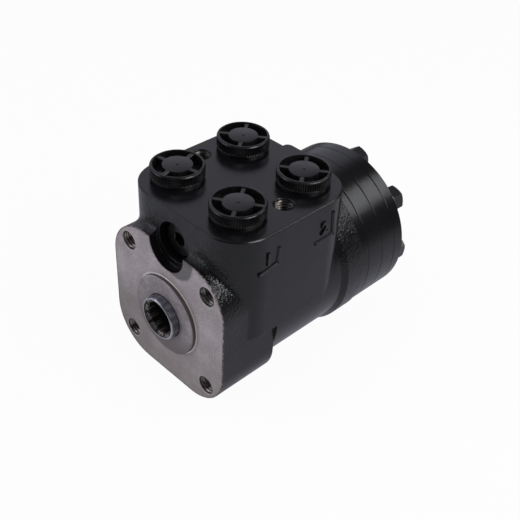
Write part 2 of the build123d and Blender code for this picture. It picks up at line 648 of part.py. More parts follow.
with BuildPart() as sleeve:
    with BuildSketch(Plane.YZ):
        with BuildLine():
            Polyline(
                (SLEEVE_FRONT, SLEEVE_INNER_RADIUS),
                (SLEEVE_FRONT, RING_SEAT_RADIUS),
                (SLEEVE_FRONT + SPRING_RING_LENGTH, RING_SEAT_RADIUS),
                (SLEEVE_FRONT + SPRING_RING_LENGTH, SLEEVE_RADIUS),
                (SLEEVE_BACK, SLEEVE_RADIUS),
                (SLEEVE_BACK, SLEEVE_INNER_RADIUS),
                close=True,
            )
        make_face()
    revolve(axis=Axis.Y)
    cut_through(2 * SLOT_HALF_HEIGHT, LEAF_FRONT, LEAF_WIDTH)
    cut_radial_holes(CROSS_PIN_RADIUS + SEAT_CLEARANCE, CROSS_PIN_Y, (0, 180))
    cut_radial_holes(METERING_HOLE_RADIUS, RIGHT_GROOVE_Y, SIX_WAYS)
    cut_radial_holes(METERING_HOLE_RADIUS, LEFT_GROOVE_Y, SIX_WAYS)
    cut_radial_holes(METERING_HOLE_RADIUS, PUMP_GROOVE_Y, SIX_WAYS)
    cut_radial_holes(METERING_HOLE_RADIUS, TANK_GROOVE_Y, SIX_WAYS)
    cut_radial_holes(METERING_HOLE_RADIUS, FEED_Y, SIX_WAYS)
finish(sleeve.part, "sleeve")

with BuildPart() as spool:
    with BuildSketch(Plane.YZ):
        with BuildLine():
            Polyline(
                (-SPOOL_NOSE, LIP_BORE_RADIUS),
                (-SPOOL_NOSE, NECK_RADIUS - NECK_CHAMFER),
                (-SPOOL_NOSE + NECK_CHAMFER, NECK_RADIUS),
                (SLEEVE_FRONT + RUNNING_CLEARANCE, NECK_RADIUS),
                (SLEEVE_FRONT + RUNNING_CLEARANCE, SPOOL_RADIUS),
                (SPOOL_BACK, SPOOL_RADIUS),
                (SPOOL_BACK, SPOOL_BORE_RADIUS),
                (SPOOL_BORE_FRONT, SPOOL_BORE_RADIUS),
                (SPOOL_BORE_FRONT, SPLINE_TIP_RADIUS),
                (-SPOOL_NOSE + SPLINE_RECESS, SPLINE_TIP_RADIUS),
                (-SPOOL_NOSE + SPLINE_RECESS, LIP_BORE_RADIUS),
                close=True,
            )
        make_face()
    revolve(axis=Axis.Y)
    # steering column spline
    with BuildSketch(station(-SPOOL_NOSE + SPLINE_RECESS)):
        Polygon(*spline_outline(SPLINE_ROOT_RADIUS, SPLINE_TIP_RADIUS), align=None)
    extrude(amount=-SPLINE_LENGTH, mode=Mode.SUBTRACT)
    cut_through(2 * SLOT_HALF_HEIGHT, LEAF_FRONT, LEAF_WIDTH)
    # the cross pin passes with room for the spool's turn in the sleeve
    pin_room = SPOOL_RADIUS * sin(radians(SPOOL_TURN)) + 2 * RUNNING_CLEARANCE
    cut_radial_holes(CROSS_PIN_RADIUS + pin_room, CROSS_PIN_Y, (0, 180))
    # metering slots milled along the outside
    for slot_front, slot_back, shift in (
        (RIGHT_GROOVE_Y - 2, CROSS_PIN_Y - 9, 0),
        (PUMP_GROOVE_Y - 3, FEED_Y + 2, 0),
        (TANK_GROOVE_Y - 2, FEED_Y + 2, 30),
    ):
        for angle in SIX_WAYS:
            slot_plane = around(angle + shift, (slot_front + slot_back) / 2)
            with BuildSketch(slot_plane.offset(SPOOL_RADIUS - METERING_SLOT_DEPTH)):
                RectangleRounded(slot_back - slot_front, METERING_SLOT_WIDTH, METERING_SLOT_WIDTH * 0.45)
            extrude(amount=2 * METERING_SLOT_DEPTH, mode=Mode.SUBTRACT)
    # holes to the tank side of the bore
    cut_radial_holes(METERING_HOLE_RADIUS, TANK_GROOVE_Y, SIX_WAYS[:2])
finish(spool.part, "spool")

with BuildPart() as cross_pin:
    with BuildSketch(Plane.YZ):
        with Locations((CROSS_PIN_Y, 0)):
            Circle(CROSS_PIN_RADIUS)
    extrude(amount=SLEEVE_RADIUS - CROSS_PIN_INSET, both=True)
    chamfer(cross_pin.edges().filter_by(GeomType.CIRCLE), length=EDGE_BREAK)
finish(cross_pin.part, "cross_pin")

finish(
    turned_ring(
        SLEEVE_FRONT,
        SLEEVE_FRONT + SPRING_RING_LENGTH - SEAT_CLEARANCE,
        RING_SEAT_RADIUS + SEAT_CLEARANCE,
        SLEEVE_RADIUS,
    ),
    "spring_ring",
)

LEAF_HALF_LENGTH = sqrt(RING_SEAT_RADIUS**2 - SLOT_HALF_HEIGHT**2) - RUNNING_CLEARANCE

with BuildPart() as centring_springs:
    for side in (1, -1):
        # flat leaf, then two arched ones nested on it
        with BuildSketch(station(LEAF_FRONT)):
            with Locations((0, side * (LEAF_GAP + LEAF_THICKNESS) / 2)):
                Rectangle(2 * LEAF_HALF_LENGTH, LEAF_THICKNESS)
        extrude(amount=-LEAF_WIDTH)
        for layer in (1, 2):
            low = layer * (LEAF_THICKNESS + LEAF_GAP)
            high = low + LEAF_THICKNESS
            with BuildSketch(station(LEAF_FRONT)):
                with BuildLine():
                    inner = ThreePointArc(
                        (-LEAF_HALF_LENGTH, side * (low + LEAF_ARCH)),
                        (0, side * low),
                        (LEAF_HALF_LENGTH, side * (low + LEAF_ARCH)),
                    )
                    outer = ThreePointArc(
                        (-LEAF_HALF_LENGTH, side * (high + LEAF_ARCH)),
                        (0, side * high),
                        (LEAF_HALF_LENGTH, side * (high + LEAF_ARCH)),
                    )
                    Line(inner @ 0, outer @ 0)
                    Line(inner @ 1, outer @ 1)
                make_face()
            extrude(amount=-LEAF_WIDTH)
finish(centring_springs.part, "centring_springs")


# ---- Gear set and cardan shaft ---------------------------------------------------------------------------------------------
ROTOR_POINTS_PER_LOBE = 24
ROTOR_TEETH = RING_LOBES - 1


def rotor_station(y):
    """Plane across the shaft axis with its origin on the rotor's own, raised axis."""
    return Plane(origin=(0, y, ECCENTRICITY), x_dir=(1, 0, 0), z_dir=(0, -1, 0))


with BuildPart() as rotor:
    with BuildSketch(rotor_station(GEAR_FRONT + GEAR_CLEARANCE)):
        with BuildLine():
            steps = ROTOR_TEETH * ROTOR_POINTS_PER_LOBE
            Spline(*[rotor_point(2 * pi * k / steps) for k in range(steps)], periodic=True)
        make_face()
        Polygon(*spline_outline(ROTOR_SPLINE_ROOT, ROTOR_SPLINE_TIP), align=None, mode=Mode.SUBTRACT)
    extrude(amount=2 * GEAR_CLEARANCE - GEAR_WIDTH)
finish(rotor.part, "rotor")

# the cardan shaft leans from the cross pin to the middle of the rotor
CARDAN_AXIS = Vector(0, cos(TILT), sin(TILT))
CARDAN_ORIGIN = Vector(0, CROSS_PIN_Y, 0)
CARDAN_REACH = (CARDAN_END - CROSS_PIN_Y) / cos(TILT)


def cardan_station(distance):
    """Plane across the cardan shaft, at a distance behind the cross pin's axis."""
    return Plane(origin=CARDAN_ORIGIN + CARDAN_AXIS * distance, x_dir=(1, 0, 0), z_dir=-CARDAN_AXIS)


CARDAN_PROFILE_PLANE = Plane(origin=CARDAN_ORIGIN, x_dir=CARDAN_AXIS, z_dir=(1, 0, 0))
CARDAN_SPLINE_ROOT = ROTOR_SPLINE_ROOT - CARDAN_SPLINE_CLEARANCE
FORK_BACK = FORK_LENGTH - FORK_FRONT

with BuildPart() as cardan_shaft:
    with BuildSketch(CARDAN_PROFILE_PLANE):
        with BuildLine():
            Polyline(
                (-FORK_FRONT, 0),
                (-FORK_FRONT, CARDAN_HEAD_RADIUS - 1.5),
                (-FORK_FRONT + 1.5, CARDAN_HEAD_RADIUS),
                (FORK_BACK, CARDAN_HEAD_RADIUS),
                (FORK_BACK + 3, CARDAN_NECK_RADIUS),
                (CARDAN_REACH - CARDAN_SPLINE_LENGTH - 4, CARDAN_NECK_RADIUS),
                (CARDAN_REACH - CARDAN_SPLINE_LENGTH, CARDAN_SPLINE_ROOT),
                (CARDAN_REACH - 2.2, CARDAN_SPLINE_ROOT),
                (CARDAN_REACH, CARDAN_NECK_RADIUS),
                (CARDAN_REACH, 0),
                close=True,
            )
        make_face()
    revolve(axis=Axis(CARDAN_ORIGIN, CARDAN_AXIS))
    # spline teeth that drive the rotor
    with BuildSketch(cardan_station(CARDAN_REACH - CARDAN_SPLINE_LENGTH - 4)):
        Circle(CARDAN_SPLINE_ROOT + 1)
        with BuildSketch(mode=Mode.PRIVATE) as rotor_spline:
            Polygon(*spline_outline(ROTOR_SPLINE_ROOT, ROTOR_SPLINE_TIP), align=None)
            offset(amount=-CARDAN_SPLINE_CLEARANCE, kind=Kind.INTERSECTION)
        add(rotor_spline.sketch, mode=Mode.SUBTRACT)
    extrude(amount=-CARDAN_SPLINE_LENGTH - 5, mode=Mode.SUBTRACT)
    # fork that takes the cross pin
    with BuildSketch(cardan_station(-FORK_FRONT)):
        Rectangle(4 * CARDAN_HEAD_RADIUS, 2 * (CROSS_PIN_RADIUS + FORK_CLEARANCE))
    extrude(amount=-FORK_FRONT - CROSS_PIN_RADIUS - 4 * FORK_CLEARANCE, mode=Mode.SUBTRACT)
finish(cardan_shaft.part, "cardan_shaft")

with BuildPart() as spacer:
    with BuildSketch(rotor_station(COVER_FRONT - SPACER_CLEARANCE - SPACER_THICKNESS)):
        Circle(SPACER_RADIUS)
    extrude(amount=-SPACER_THICKNESS)
finish(spacer.part, "spacer")


# ---- Relief valve ------------------------------------------------------------------------------------------------------------
def on_relief_axis(y):
    """Plane across the relief valve's axis."""
    return Plane(origin=(0, y, RELIEF_HEIGHT), x_dir=(1, 0, 0), z_dir=(0, -1, 0))


RELIEF_PROFILE_PLANE = Plane(origin=(0, 0, RELIEF_HEIGHT), x_dir=(0, 1, 0), z_dir=(1, 0, 0))
RELIEF_AXIS = Axis((0, 0, RELIEF_HEIGHT), (0, 1, 0))
HEAD_SEAT_Y = SPOTFACE_Y - RELIEF_PLUG_SEAL
ADJUSTER_BACK = ADJUSTER_FRONT + ADJUSTER_LENGTH
POPPET_FRONT = RELIEF_SEAT_Y - POPPET_LENGTH


def cut_socket(front, depth):
    """Hexagon socket on the relief valve's axis in the part that is being built."""
    with BuildSketch(on_relief_axis(front)) as hexagon:
        RegularPolygon(RELIEF_SOCKET_FLATS / 2, 6, major_radius=False)
    extrude(hexagon.sketch, amount=-depth, mode=Mode.SUBTRACT)


with BuildPart() as relief_plug:
    with BuildSketch(on_relief_axis(HEAD_SEAT_Y - RELIEF_PLUG_HEAD)):
        Circle(RELIEF_PLUG_RADIUS)
    extrude(amount=-RELIEF_PLUG_HEAD)
    chamfer(relief_plug.faces().sort_by(Axis.Y)[0].edges(), length=EDGE_BREAK)
    with BuildSketch(on_relief_axis(HEAD_SEAT_Y)):
        Circle(RELIEF_PLUG_THREAD)
    extrude(amount=-RELIEF_PLUG_REACH)
    cut_socket(HEAD_SEAT_Y - RELIEF_PLUG_HEAD, RELIEF_SOCKET_DEPTH)
finish(relief_plug.part, "relief_plug")

with BuildPart() as relief_plug_seal:
    with BuildSketch(on_relief_axis(HEAD_SEAT_Y)):
        Circle(RELIEF_PLUG_RADIUS)
        Circle(RELIEF_PLUG_THREAD + THREAD_CLEARANCE, mode=Mode.SUBTRACT)
    extrude(amount=-RELIEF_PLUG_SEAL)
finish(relief_plug_seal.part, "relief_plug_seal")

with BuildPart() as relief_adjuster:
    with BuildSketch(on_relief_axis(ADJUSTER_FRONT)):
        Circle(RELIEF_BORE_RADIUS - THREAD_CLEARANCE)
    extrude(amount=-ADJUSTER_LENGTH)
    cut_socket(ADJUSTER_FRONT, RELIEF_SOCKET_DEPTH)
finish(relief_adjuster.part, "relief_adjuster")

COIL_RADIUS = RELIEF_BORE_RADIUS - POPPET_CLEARANCE - SPRING_WIRE_RADIUS - 0.4
COIL_LENGTH = POPPET_FRONT - ADJUSTER_BACK - 2 * SPRING_WIRE_RADIUS - 2 * LEAF_GAP

with BuildPart() as relief_spring:
    coil_start = ADJUSTER_BACK + SPRING_WIRE_RADIUS + LEAF_GAP
    with BuildLine() as coil:
        Helix(
            pitch=COIL_LENGTH / SPRING_TURNS,
            height=COIL_LENGTH,
            radius=COIL_RADIUS,
            center=(0, coil_start, RELIEF_HEIGHT),
            direction=(0, 1, 0),
        )
    with BuildSketch(coil.line ^ 0):
        Circle(SPRING_WIRE_RADIUS)
    sweep(path=coil.line, is_frenet=True)
finish(relief_spring.part, "relief_spring")

NOSE_SLOPE = 0.62
NOSE_LENGTH = 3.0

with BuildPart() as relief_poppet:
    seat_touch = RELIEF_SEAT_RADIUS - 2 * SEAT_CLEARANCE
    with BuildSketch(RELIEF_PROFILE_PLANE):
        with BuildLine():
            Polyline(
                (POPPET_FRONT, 0),
                (POPPET_FRONT, RELIEF_BORE_RADIUS - POPPET_CLEARANCE),
                (RELIEF_SEAT_Y - NOSE_LENGTH, RELIEF_BORE_RADIUS - POPPET_CLEARANCE),
                (RELIEF_SEAT_Y - NOSE_LENGTH, seat_touch + NOSE_LENGTH * NOSE_SLOPE),
                (RELIEF_SEAT_Y, seat_touch),
                (RELIEF_SEAT_Y + NOSE_LENGTH / 2, seat_touch - NOSE_LENGTH / 2 * NOSE_SLOPE),
                (RELIEF_SEAT_Y + NOSE_LENGTH / 2, 0),
                close=True,
            )
        make_face()
    revolve(axis=RELIEF_AXIS)
finish(relief_poppet.part, "relief_poppet")


# ---- Check valve and suction valves ---------------------------------------------------------------------------------------------
def valve_ball(index):
    """Ball on its seat in the bore of a cover screw."""
    x, z = screw_centre(index)
    with BuildPart() as ball:
        with Locations((x, BALL_CENTRE, z)):
            Sphere(BALL_RADIUS)
    return ball.part


finish(valve_ball(CHECK_HOLE), "check_ball")
for side, index in SUCTION_HOLES.items():
    finish(valve_ball(index), f"suction_ball_{side}")

with BuildPart() as check_bush:
    with BuildSketch(station(SCREW_TIP - SEAT_CLEARANCE - BUSH_LENGTH)):
        with Locations(screw_centre(CHECK_HOLE)):
            Circle(SCREW_RADIUS)
            Circle(BUSH_BORE_RADIUS, mode=Mode.SUBTRACT)
    extrude(amount=-BUSH_LENGTH)
finish(check_bush.part, "check_bush")

with BuildPart() as suction_pins:
    with BuildSketch(station(STOP_PIN_FRONT)):
        for index in SUCTION_HOLES.values():
            with Locations(screw_centre(index)):
                Circle(STOP_PIN_RADIUS)
    extrude(amount=STOP_PIN_FRONT - SCREW_TIP + SEAT_CLEARANCE)
finish(suction_pins.part, "suction_pins")


# ---- Port plugs -------------------------------------------------------------------------------------------------------------------
def port_plug(x, y, turn):
    """Plastic plug with a spoked head and a hollow threaded stem, screwed into a port."""
    head_top = PORT_FACE_HEIGHT + CAP_HEIGHT
    with BuildPart() as plug:
        with BuildSketch(Plane.XY.offset(PORT_FACE_HEIGHT)):
            with Locations((x, y)):
                Circle(CAP_RADIUS)
        extrude(amount=CAP_HEIGHT)
        chamfer(plug.faces().sort_by(Axis.Z)[-1].edges(), length=CAP_EDGE)
        with BuildSketch(Plane.XY.offset(head_top)):
            with Locations((x, y)):
                Circle(CAP_RADIUS - CAP_RIM)
                Circle(CAP_HUB_RADIUS, mode=Mode.SUBTRACT)
                with PolarLocations(0, 2, start_angle=turn, angular_range=180):
                    Rectangle(2 * CAP_RADIUS, CAP_SPOKE_WIDTH, mode=Mode.SUBTRACT)
        extrude(amount=-CAP_WINDOW_DEPTH, mode=Mode.SUBTRACT)
        with BuildSketch(Plane.XY.offset(PORT_FACE_HEIGHT)):
            with Locations((x, y)):
                Circle(PORT_RADIUS - CAP_THREAD_CLEARANCE)
                Circle(PORT_RADIUS - CAP_THREAD_CLEARANCE - CAP_STEM_WALL, mode=Mode.SUBTRACT)
        extrude(amount=-CAP_STEM_LENGTH)
    return plug.part


for place, (port_x, port_y, _, _) in PORTS.items():
    finish(port_plug(port_x, port_y, CAP_TURNS[place]), f"port_plug_{place}")
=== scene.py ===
import json
from functools import partial
from math import cos, pi, radians, sin

import bmesh
import bpy
from mathutils import Matrix, Vector


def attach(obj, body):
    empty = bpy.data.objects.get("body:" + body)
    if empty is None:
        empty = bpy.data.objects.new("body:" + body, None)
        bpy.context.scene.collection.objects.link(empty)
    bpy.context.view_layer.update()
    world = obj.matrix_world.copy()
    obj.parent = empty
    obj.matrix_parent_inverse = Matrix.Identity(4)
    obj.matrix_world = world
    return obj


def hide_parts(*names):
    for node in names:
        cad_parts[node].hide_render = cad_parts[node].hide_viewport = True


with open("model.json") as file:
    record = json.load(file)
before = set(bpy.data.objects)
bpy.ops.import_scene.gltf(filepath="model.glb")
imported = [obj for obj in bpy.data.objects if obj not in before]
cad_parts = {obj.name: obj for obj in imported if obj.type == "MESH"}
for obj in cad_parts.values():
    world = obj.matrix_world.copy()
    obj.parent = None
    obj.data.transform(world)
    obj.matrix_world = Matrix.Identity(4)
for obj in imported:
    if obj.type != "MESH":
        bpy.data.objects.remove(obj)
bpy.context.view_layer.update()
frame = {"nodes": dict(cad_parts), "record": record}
nodes = frame["nodes"]
MM = 0.001

# ---- Sizes shared with the CAD model, in metres ----
PORT_FACE = 60.0 * MM           # height of the port face above the shaft axis
BLOCK_RIGHT = 43.3 * MM         # right side wall of the port block
FLANGE_HALF = 41.4 * MM
FLANGE_CORNER = 24.0 * MM
BAND_FRONT = 98.9 * MM          # where the machined rear band starts
PILOT_RADIUS = 22.2 * MM
PILOT_HEIGHT = 2.0 * MM
FRONT_HOLE = 29.19 * MM         # front holes, across and up from the axis
M10_RADIUS = 5.0 * MM
M10_MINOR = 4.3 * MM
M10_PITCH = 1.5 * MM
THREAD_LENGTH = 15.0 * MM
COUNTERSINK = 0.45 * MM
ACCESSORY_HOLES = ((-29.5 * MM, 48.5 * MM), (29.5 * MM, 48.5 * MM))
SPOOL_NOSE_Y = -6.6 * MM
TEETH_FRONT_Y = -4.7 * MM
SPLINE_TEETH = 12
SPLINE_TIP_RADIUS = 8.7 * MM
LIP_BORE_RADIUS = 10.95 * MM
RELIEF_HEIGHT = 42.0 * MM       # axis of the relief valve above the shaft axis
SPOTFACE_Y = 13.2 * MM
# each plug's centre and the turn of its spokes in degrees
PLUGS = {
    "port_plug_right_front": (21.6 * MM, 26.0 * MM, 34.0),
    "port_plug_left_front": (-21.6 * MM, 26.0 * MM, 13.0),
    "port_plug_right_back": (21.6 * MM, 70.1 * MM, 36.5),
    "port_plug_left_back": (-21.6 * MM, 70.1 * MM, 37.0),
}


# ---- Node trees ----
class Nodes:
    """A node tree under construction. Sockets and plain numbers mix freely in its calls."""

    def __init__(self, tree):
        self.tree = tree
        tree.nodes.clear()

    def node(self, kind, **settings):
        made = self.tree.nodes.new(kind)
        for key, value in settings.items():
            setattr(made, key, value)
        return made

    def feed(self, socket, value):
        if isinstance(value, bpy.types.NodeSocket):
            self.tree.links.new(value, socket)
        else:
            socket.default_value = value

    def math(self, operation, a, b=0.0):
        made = self.node("ShaderNodeMath", operation=operation)
        self.feed(made.inputs[0], a)
        self.feed(made.inputs[1], b)
        return made.outputs[0]

    def add(self, a, b):
        return self.math("ADD", a, b)

    def less(self, a, b):
        return self.math("SUBTRACT", a, b)

    def times(self, first, *others):
        for other in others:
            first = self.math("MULTIPLY", first, other)
        return first

    def length(self, a, b):
        return self.math("SQRT", self.add(self.times(a, a), self.times(b, b)))

    def span(self, value, low, high):
        """0 below low and 1 above high, or the other way round if low is above high."""
        made = self.node("ShaderNodeMapRange", interpolation_type="SMOOTHSTEP")
        flip = low > high
        self.feed(made.inputs["Value"], value)
        made.inputs["From Min"].default_value = min(low, high)
        made.inputs["From Max"].default_value = max(low, high)
        made.inputs["To Min"].default_value = 1.0 if flip else 0.0
        made.inputs["To Max"].default_value = 0.0 if flip else 1.0
        return made.outputs[0]


class Graph(Nodes):
    """The node tree of a new material."""

    def __init__(self, name):
        self.material = bpy.data.materials.new(name)
        self.material.use_nodes = True
        super().__init__(self.material.node_tree)
        self.output = self.node("ShaderNodeOutputMaterial")
        self.place = self.node("ShaderNodeTexCoord").outputs["Object"]

    def axes(self):
        made = self.node("ShaderNodeSeparateXYZ")
        self.feed(made.inputs[0], self.place)
        return made.outputs

    def noise(self, size, detail=3.0, roughness=0.55, stretch=(1, 1, 1), distortion=0.0):
        """Noise whose blobs are about this many metres across."""
        mapping = self.node("ShaderNodeMapping")
        self.feed(mapping.inputs["Vector"], self.place)
        mapping.inputs["Scale"].default_value = stretch
        made = self.node("ShaderNodeTexNoise")
        self.feed(made.inputs["Vector"], mapping.outputs[0])
        made.inputs["Scale"].default_value = 1.0 / size
        made.inputs["Detail"].default_value = detail
        made.inputs["Roughness"].default_value = roughness
        made.inputs["Distortion"].default_value = distortion
        return made.outputs["Fac"]

    def cells(self, size):
        """Distance to the nearest of points spread about this many metres apart."""
        made = self.node("ShaderNodeTexVoronoi", feature="F1")
        self.feed(made.inputs["Vector"], self.place)
        made.inputs["Scale"].default_value = 1.0 / size
        return made.outputs["Distance"]

    def mix(self, factor, a, b):
        made = self.node("ShaderNodeMix", data_type="RGBA")
        self.feed(made.inputs["Factor"], factor)
        for socket, colour in ((made.inputs["A"], a), (made.inputs["B"], b)):
            self.feed(socket, colour if isinstance(colour, bpy.types.NodeSocket) else (*colour, 1.0))
        return made.outputs["Result"]

    def mix_value(self, factor, a, b):
        made = self.node("ShaderNodeMix", data_type="FLOAT")
        self.feed(made.inputs["Factor"], factor)
        self.feed(made.inputs["A"], a)
        self.feed(made.inputs["B"], b)
        return made.outputs["Result"]

    def bump(self, height, distance, strength=1.0, normal=None):
        made = self.node("ShaderNodeBump")
        self.feed(made.inputs["Height"], height)
        made.inputs["Distance"].default_value = distance
        self.feed(made.inputs["Strength"], strength)
        if normal:
            self.feed(made.inputs["Normal"], normal)
        return made.outputs[0]

    def rounded(self, radius):
        made = self.node("ShaderNodeBevel", samples=6)
        made.inputs["Radius"].default_value = radius
        return made.outputs[0]

    def surface(self, colour, roughness, normal=None, metallic=0.0, specular=0.5):
        made = self.node("ShaderNodeBsdfPrincipled")
        self.feed(made.inputs["Base Color"], colour)
        self.feed(made.inputs["Roughness"], roughness)
        self.feed(made.inputs["Metallic"], metallic)
        made.inputs["Specular IOR Level"].default_value = specular
        if normal:
            self.feed(made.inputs["Normal"], normal)
        self.tree.links.new(made.outputs[0], self.output.inputs["Surface"])
        return self.material


# ---- Materials ----
PAINT = (0.0030, 0.0030, 0.0036)
PAINT_DUSTY = (0.0052, 0.0052, 0.0060)
PAINT_SPECK = (0.02, 0.02, 0.023)
IRON = (0.43, 0.385, 0.40)
IRON_DARK = (0.19, 0.165, 0.165)
IRON_PALE = (0.56, 0.51, 0.54)
IRON_RUBBED = (0.25, 0.215, 0.215)
IRON_STAIN = (0.20, 0.165, 0.14)
IRON_LOW_LEFT = (0.16, 0.135, 0.12)
IRON_PORE = (0.06, 0.05, 0.05)
IRON_SCRATCH = (0.55, 0.53, 0.52)
RUST = (0.16, 0.085, 0.05)
GRIME = (0.03, 0.027, 0.026)
PILOT_WALL = (0.060, 0.045, 0.036)
PILOT_FOOT_HIGHLIGHT = (0.80, 0.77, 0.77)
PILOT_RIM_SHADE = (0.10, 0.08, 0.07)
PILOT_BLOTCH = (0.17, 0.15, 0.16)
PILOT_LOW = (0.16, 0.14, 0.14)
MIST_CENTRE = (7.0 * MM, 40.0 * MM)
MIST_RADIUS = 12.6 * MM
SCRATCH_CENTRE = (-16 * MM, -62 * MM)
SCRATCH_RADIUS = 66 * MM
SCRATCH_PITCH = 1.35 * MM


def paint_colour(g):
    """Black paint with slight dusty clouds and fine specks."""
    clouds = g.span(g.noise(18 * MM, 4.0), 0.35, 0.75)
    specks = g.span(g.noise(0.9 * MM, 2.0), 0.62, 0.74)
    return g.mix(g.times(specks, 0.25), g.mix(clouds, PAINT, PAINT_DUSTY), PAINT_SPECK)


def unpainted(g, x, y, z):
    """1 on the machined front, 0 on paint, with the paint mist that got onto it beside the notch."""
    ragged = g.times(g.less(g.noise(1.3 * MM), 0.5), 0.5 * MM)
    bare = g.span(g.add(y, ragged), 0.55 * MM, 0.1 * MM)
    from_mist = g.length(g.less(x, MIST_CENTRE[0]), g.less(z, MIST_CENTRE[1]))
    misty = g.add(from_mist, g.times(g.less(g.noise(2.5 * MM), 0.5), 1.5 * MM))
    mist = g.times(g.span(misty, MIST_RADIUS + 1.0 * MM, MIST_RADIUS - 1.0 * MM), g.span(x, -2 * MM, 2 * MM))
    return g.times(bare, g.less(1.0, g.times(mist, 0.75)))


def flange_iron(g, x, z, clouds, corner):
    """Machined iron of the front: clouds, pores, stains towards the foot, darker on the lower left, rusty and
    grimy edges.
    """
    grains = g.span(g.noise(0.9 * MM, 4.0, 0.8), 0.40, 0.62)
    pores = g.span(g.noise(1.0 * MM, 2.0), 0.64, 0.71)
    rubbed = g.span(g.noise(3.2 * MM, 3.0, 0.7), 0.52, 0.68)
    low = g.span(z, 12 * MM, -38 * MM)
    low_left = g.times(g.span(x, 0.0, -34 * MM), g.span(z, 16 * MM, -14 * MM))
    iron = g.mix(clouds, IRON, IRON_PALE)
    iron = g.mix(g.times(grains, 0.50), iron, IRON_DARK)
    iron = g.mix(g.times(rubbed, 0.20), iron, IRON_RUBBED)
    iron = g.mix(g.times(low, 0.42), iron, IRON_STAIN)
    iron = g.mix(g.times(low_left, 0.45), iron, IRON_LOW_LEFT)
    iron = g.mix(g.times(pores, 0.5), iron, IRON_PORE)
    # the edge, by its distance inside the rounded outline
    edge = g.less(FLANGE_CORNER, corner)
    chips = g.span(g.noise(1.5 * MM, 3.0), 0.35, 0.6)
    rusty = g.times(g.span(edge, 1.2 * MM, 0.2 * MM), g.add(0.35, g.times(chips, 0.65)))
    iron = g.mix(g.times(rusty, 0.6), iron, RUST)
    iron = g.mix(g.times(g.span(edge, 0.7 * MM, 0.2 * MM), chips, 0.8), iron, GRIME)
    # pale rings where the tapped holes were countersunk
    hole_x = g.less(g.math("ABSOLUTE", x), FRONT_HOLE)
    hole_z = g.less(g.math("ABSOLUTE", z), FRONT_HOLE)
    near_hole = g.span(g.length(hole_x, hole_z), M10_RADIUS + 1.6 * MM, M10_RADIUS + 0.1 * MM)
    return g.mix(g.times(near_hole, 0.35), iron, IRON_PALE)


def pilot_iron(g, iron, x, y, z):
    """The pilot: dark turned wall with a painted highlight line round its foot, painted shade along the right of
    its rim, and a blotched face.
    """
    from_axis = g.length(x, z)
    wall = g.times(
        g.span(y, -0.15 * MM, -0.40 * MM),
        g.span(from_axis, PILOT_RADIUS - 0.2 * MM, PILOT_RADIUS - 0.08 * MM),
        g.span(y, -PILOT_HEIGHT - 0.15 * MM, -PILOT_HEIGHT + 0.05 * MM),
    )
    iron = g.mix(g.times(wall, 0.9), iron, PILOT_WALL)
    # painted highlight: a pale line round the foot of the wall
    foot = g.times(
        g.span(y, -0.35 * MM, -0.1 * MM),
        g.span(from_axis, PILOT_RADIUS + 0.9 * MM, PILOT_RADIUS + 0.6 * MM),
    )
    iron = g.mix(g.times(foot, 0.9), iron, PILOT_FOOT_HIGHLIGHT)
    # painted shade: dark along the right side of the rim
    rim = g.times(
        g.span(from_axis, PILOT_RADIUS - 1.1 * MM, PILOT_RADIUS - 0.4 * MM),
        g.span(x, 4 * MM, 12 * MM),
        g.span(y, -1.0 * MM, -1.3 * MM),
    )
    iron = g.mix(g.times(rim, 0.7), iron, PILOT_RIM_SHADE)
    face = g.times(
        g.span(from_axis, PILOT_RADIUS - 0.2 * MM, PILOT_RADIUS - 0.6 * MM),
        g.span(y, -PILOT_HEIGHT + 0.4 * MM, -PILOT_HEIGHT),
    )
    blotches = g.add(0.30, g.times(g.span(g.noise(5 * MM, 4.0, 0.7), 0.42, 0.62), 0.35))
    iron = g.mix(g.times(face, blotches), iron, PILOT_BLOTCH)
    return g.mix(g.times(face, g.span(z, 4 * MM, -20 * MM)), iron, PILOT_LOW)


def scratched_iron(g, iron, x, z):
    """Curved scratches on the right of the flange."""
    arc = g.length(g.less(x, SCRATCH_CENTRE[0]), g.less(z, SCRATCH_CENTRE[1]))
    rings = g.math("ABSOLUTE", g.less(g.math("FRACT", g.math("DIVIDE", arc, SCRATCH_PITCH)), 0.5))
    band = g.span(g.math("ABSOLUTE", g.less(arc, SCRATCH_RADIUS)), 2.6 * MM, 1.2 * MM)
    stretch = g.times(g.span(x, 24 * MM, 28 * MM), g.span(x, 38.5 * MM, 35 * MM))
    return g.mix(g.times(g.span(rings, 0.10, 0.03), band, stretch, 0.5), iron, IRON_SCRATCH)


def casting_shape(g, y, z, corner, bare):
    """Wavy paint, pimples, sandy ears and rear, and fine tool marks on bare iron."""
    cast = g.times(
        g.span(z, PORT_FACE - 0.3 * MM, PORT_FACE - 1.0 * MM),
        g.span(y, BAND_FRONT, BAND_FRONT - 0.9 * MM),
    )
    rough_ear = g.times(g.span(y, 16 * MM, 9 * MM), g.span(corner, 14 * MM, 22 * MM))
    sandy = g.times(g.math("MAXIMUM", rough_ear, g.span(y, 82 * MM, 87 * MM)), cast)
    grain = g.add(g.times(g.noise(1.5 * MM, 3.0, 0.6), 0.6), g.times(g.cells(1.2 * MM), 0.4))
    coat = g.times(g.less(1.0, bare), cast)
    pimples = g.times(g.span(g.cells(5.5 * MM), 0.055, 0.03), coat)
    shape = g.bump(g.noise(9 * MM, 2.0), 0.8 * MM, g.times(coat, 0.16), g.rounded(0.7 * MM))
    shape = g.bump(grain, 0.6 * MM, g.times(sandy, 0.75), shape)
    shape = g.bump(g.noise(2.2 * MM, 2.0), 0.10 * MM, g.times(coat, 0.22), shape)
    shape = g.bump(g.noise(0.5 * MM, 3.0, 0.7), 0.05 * MM, g.times(bare, 0.5), shape)
    return g.bump(pimples, 0.12 * MM, 0.8, shape)


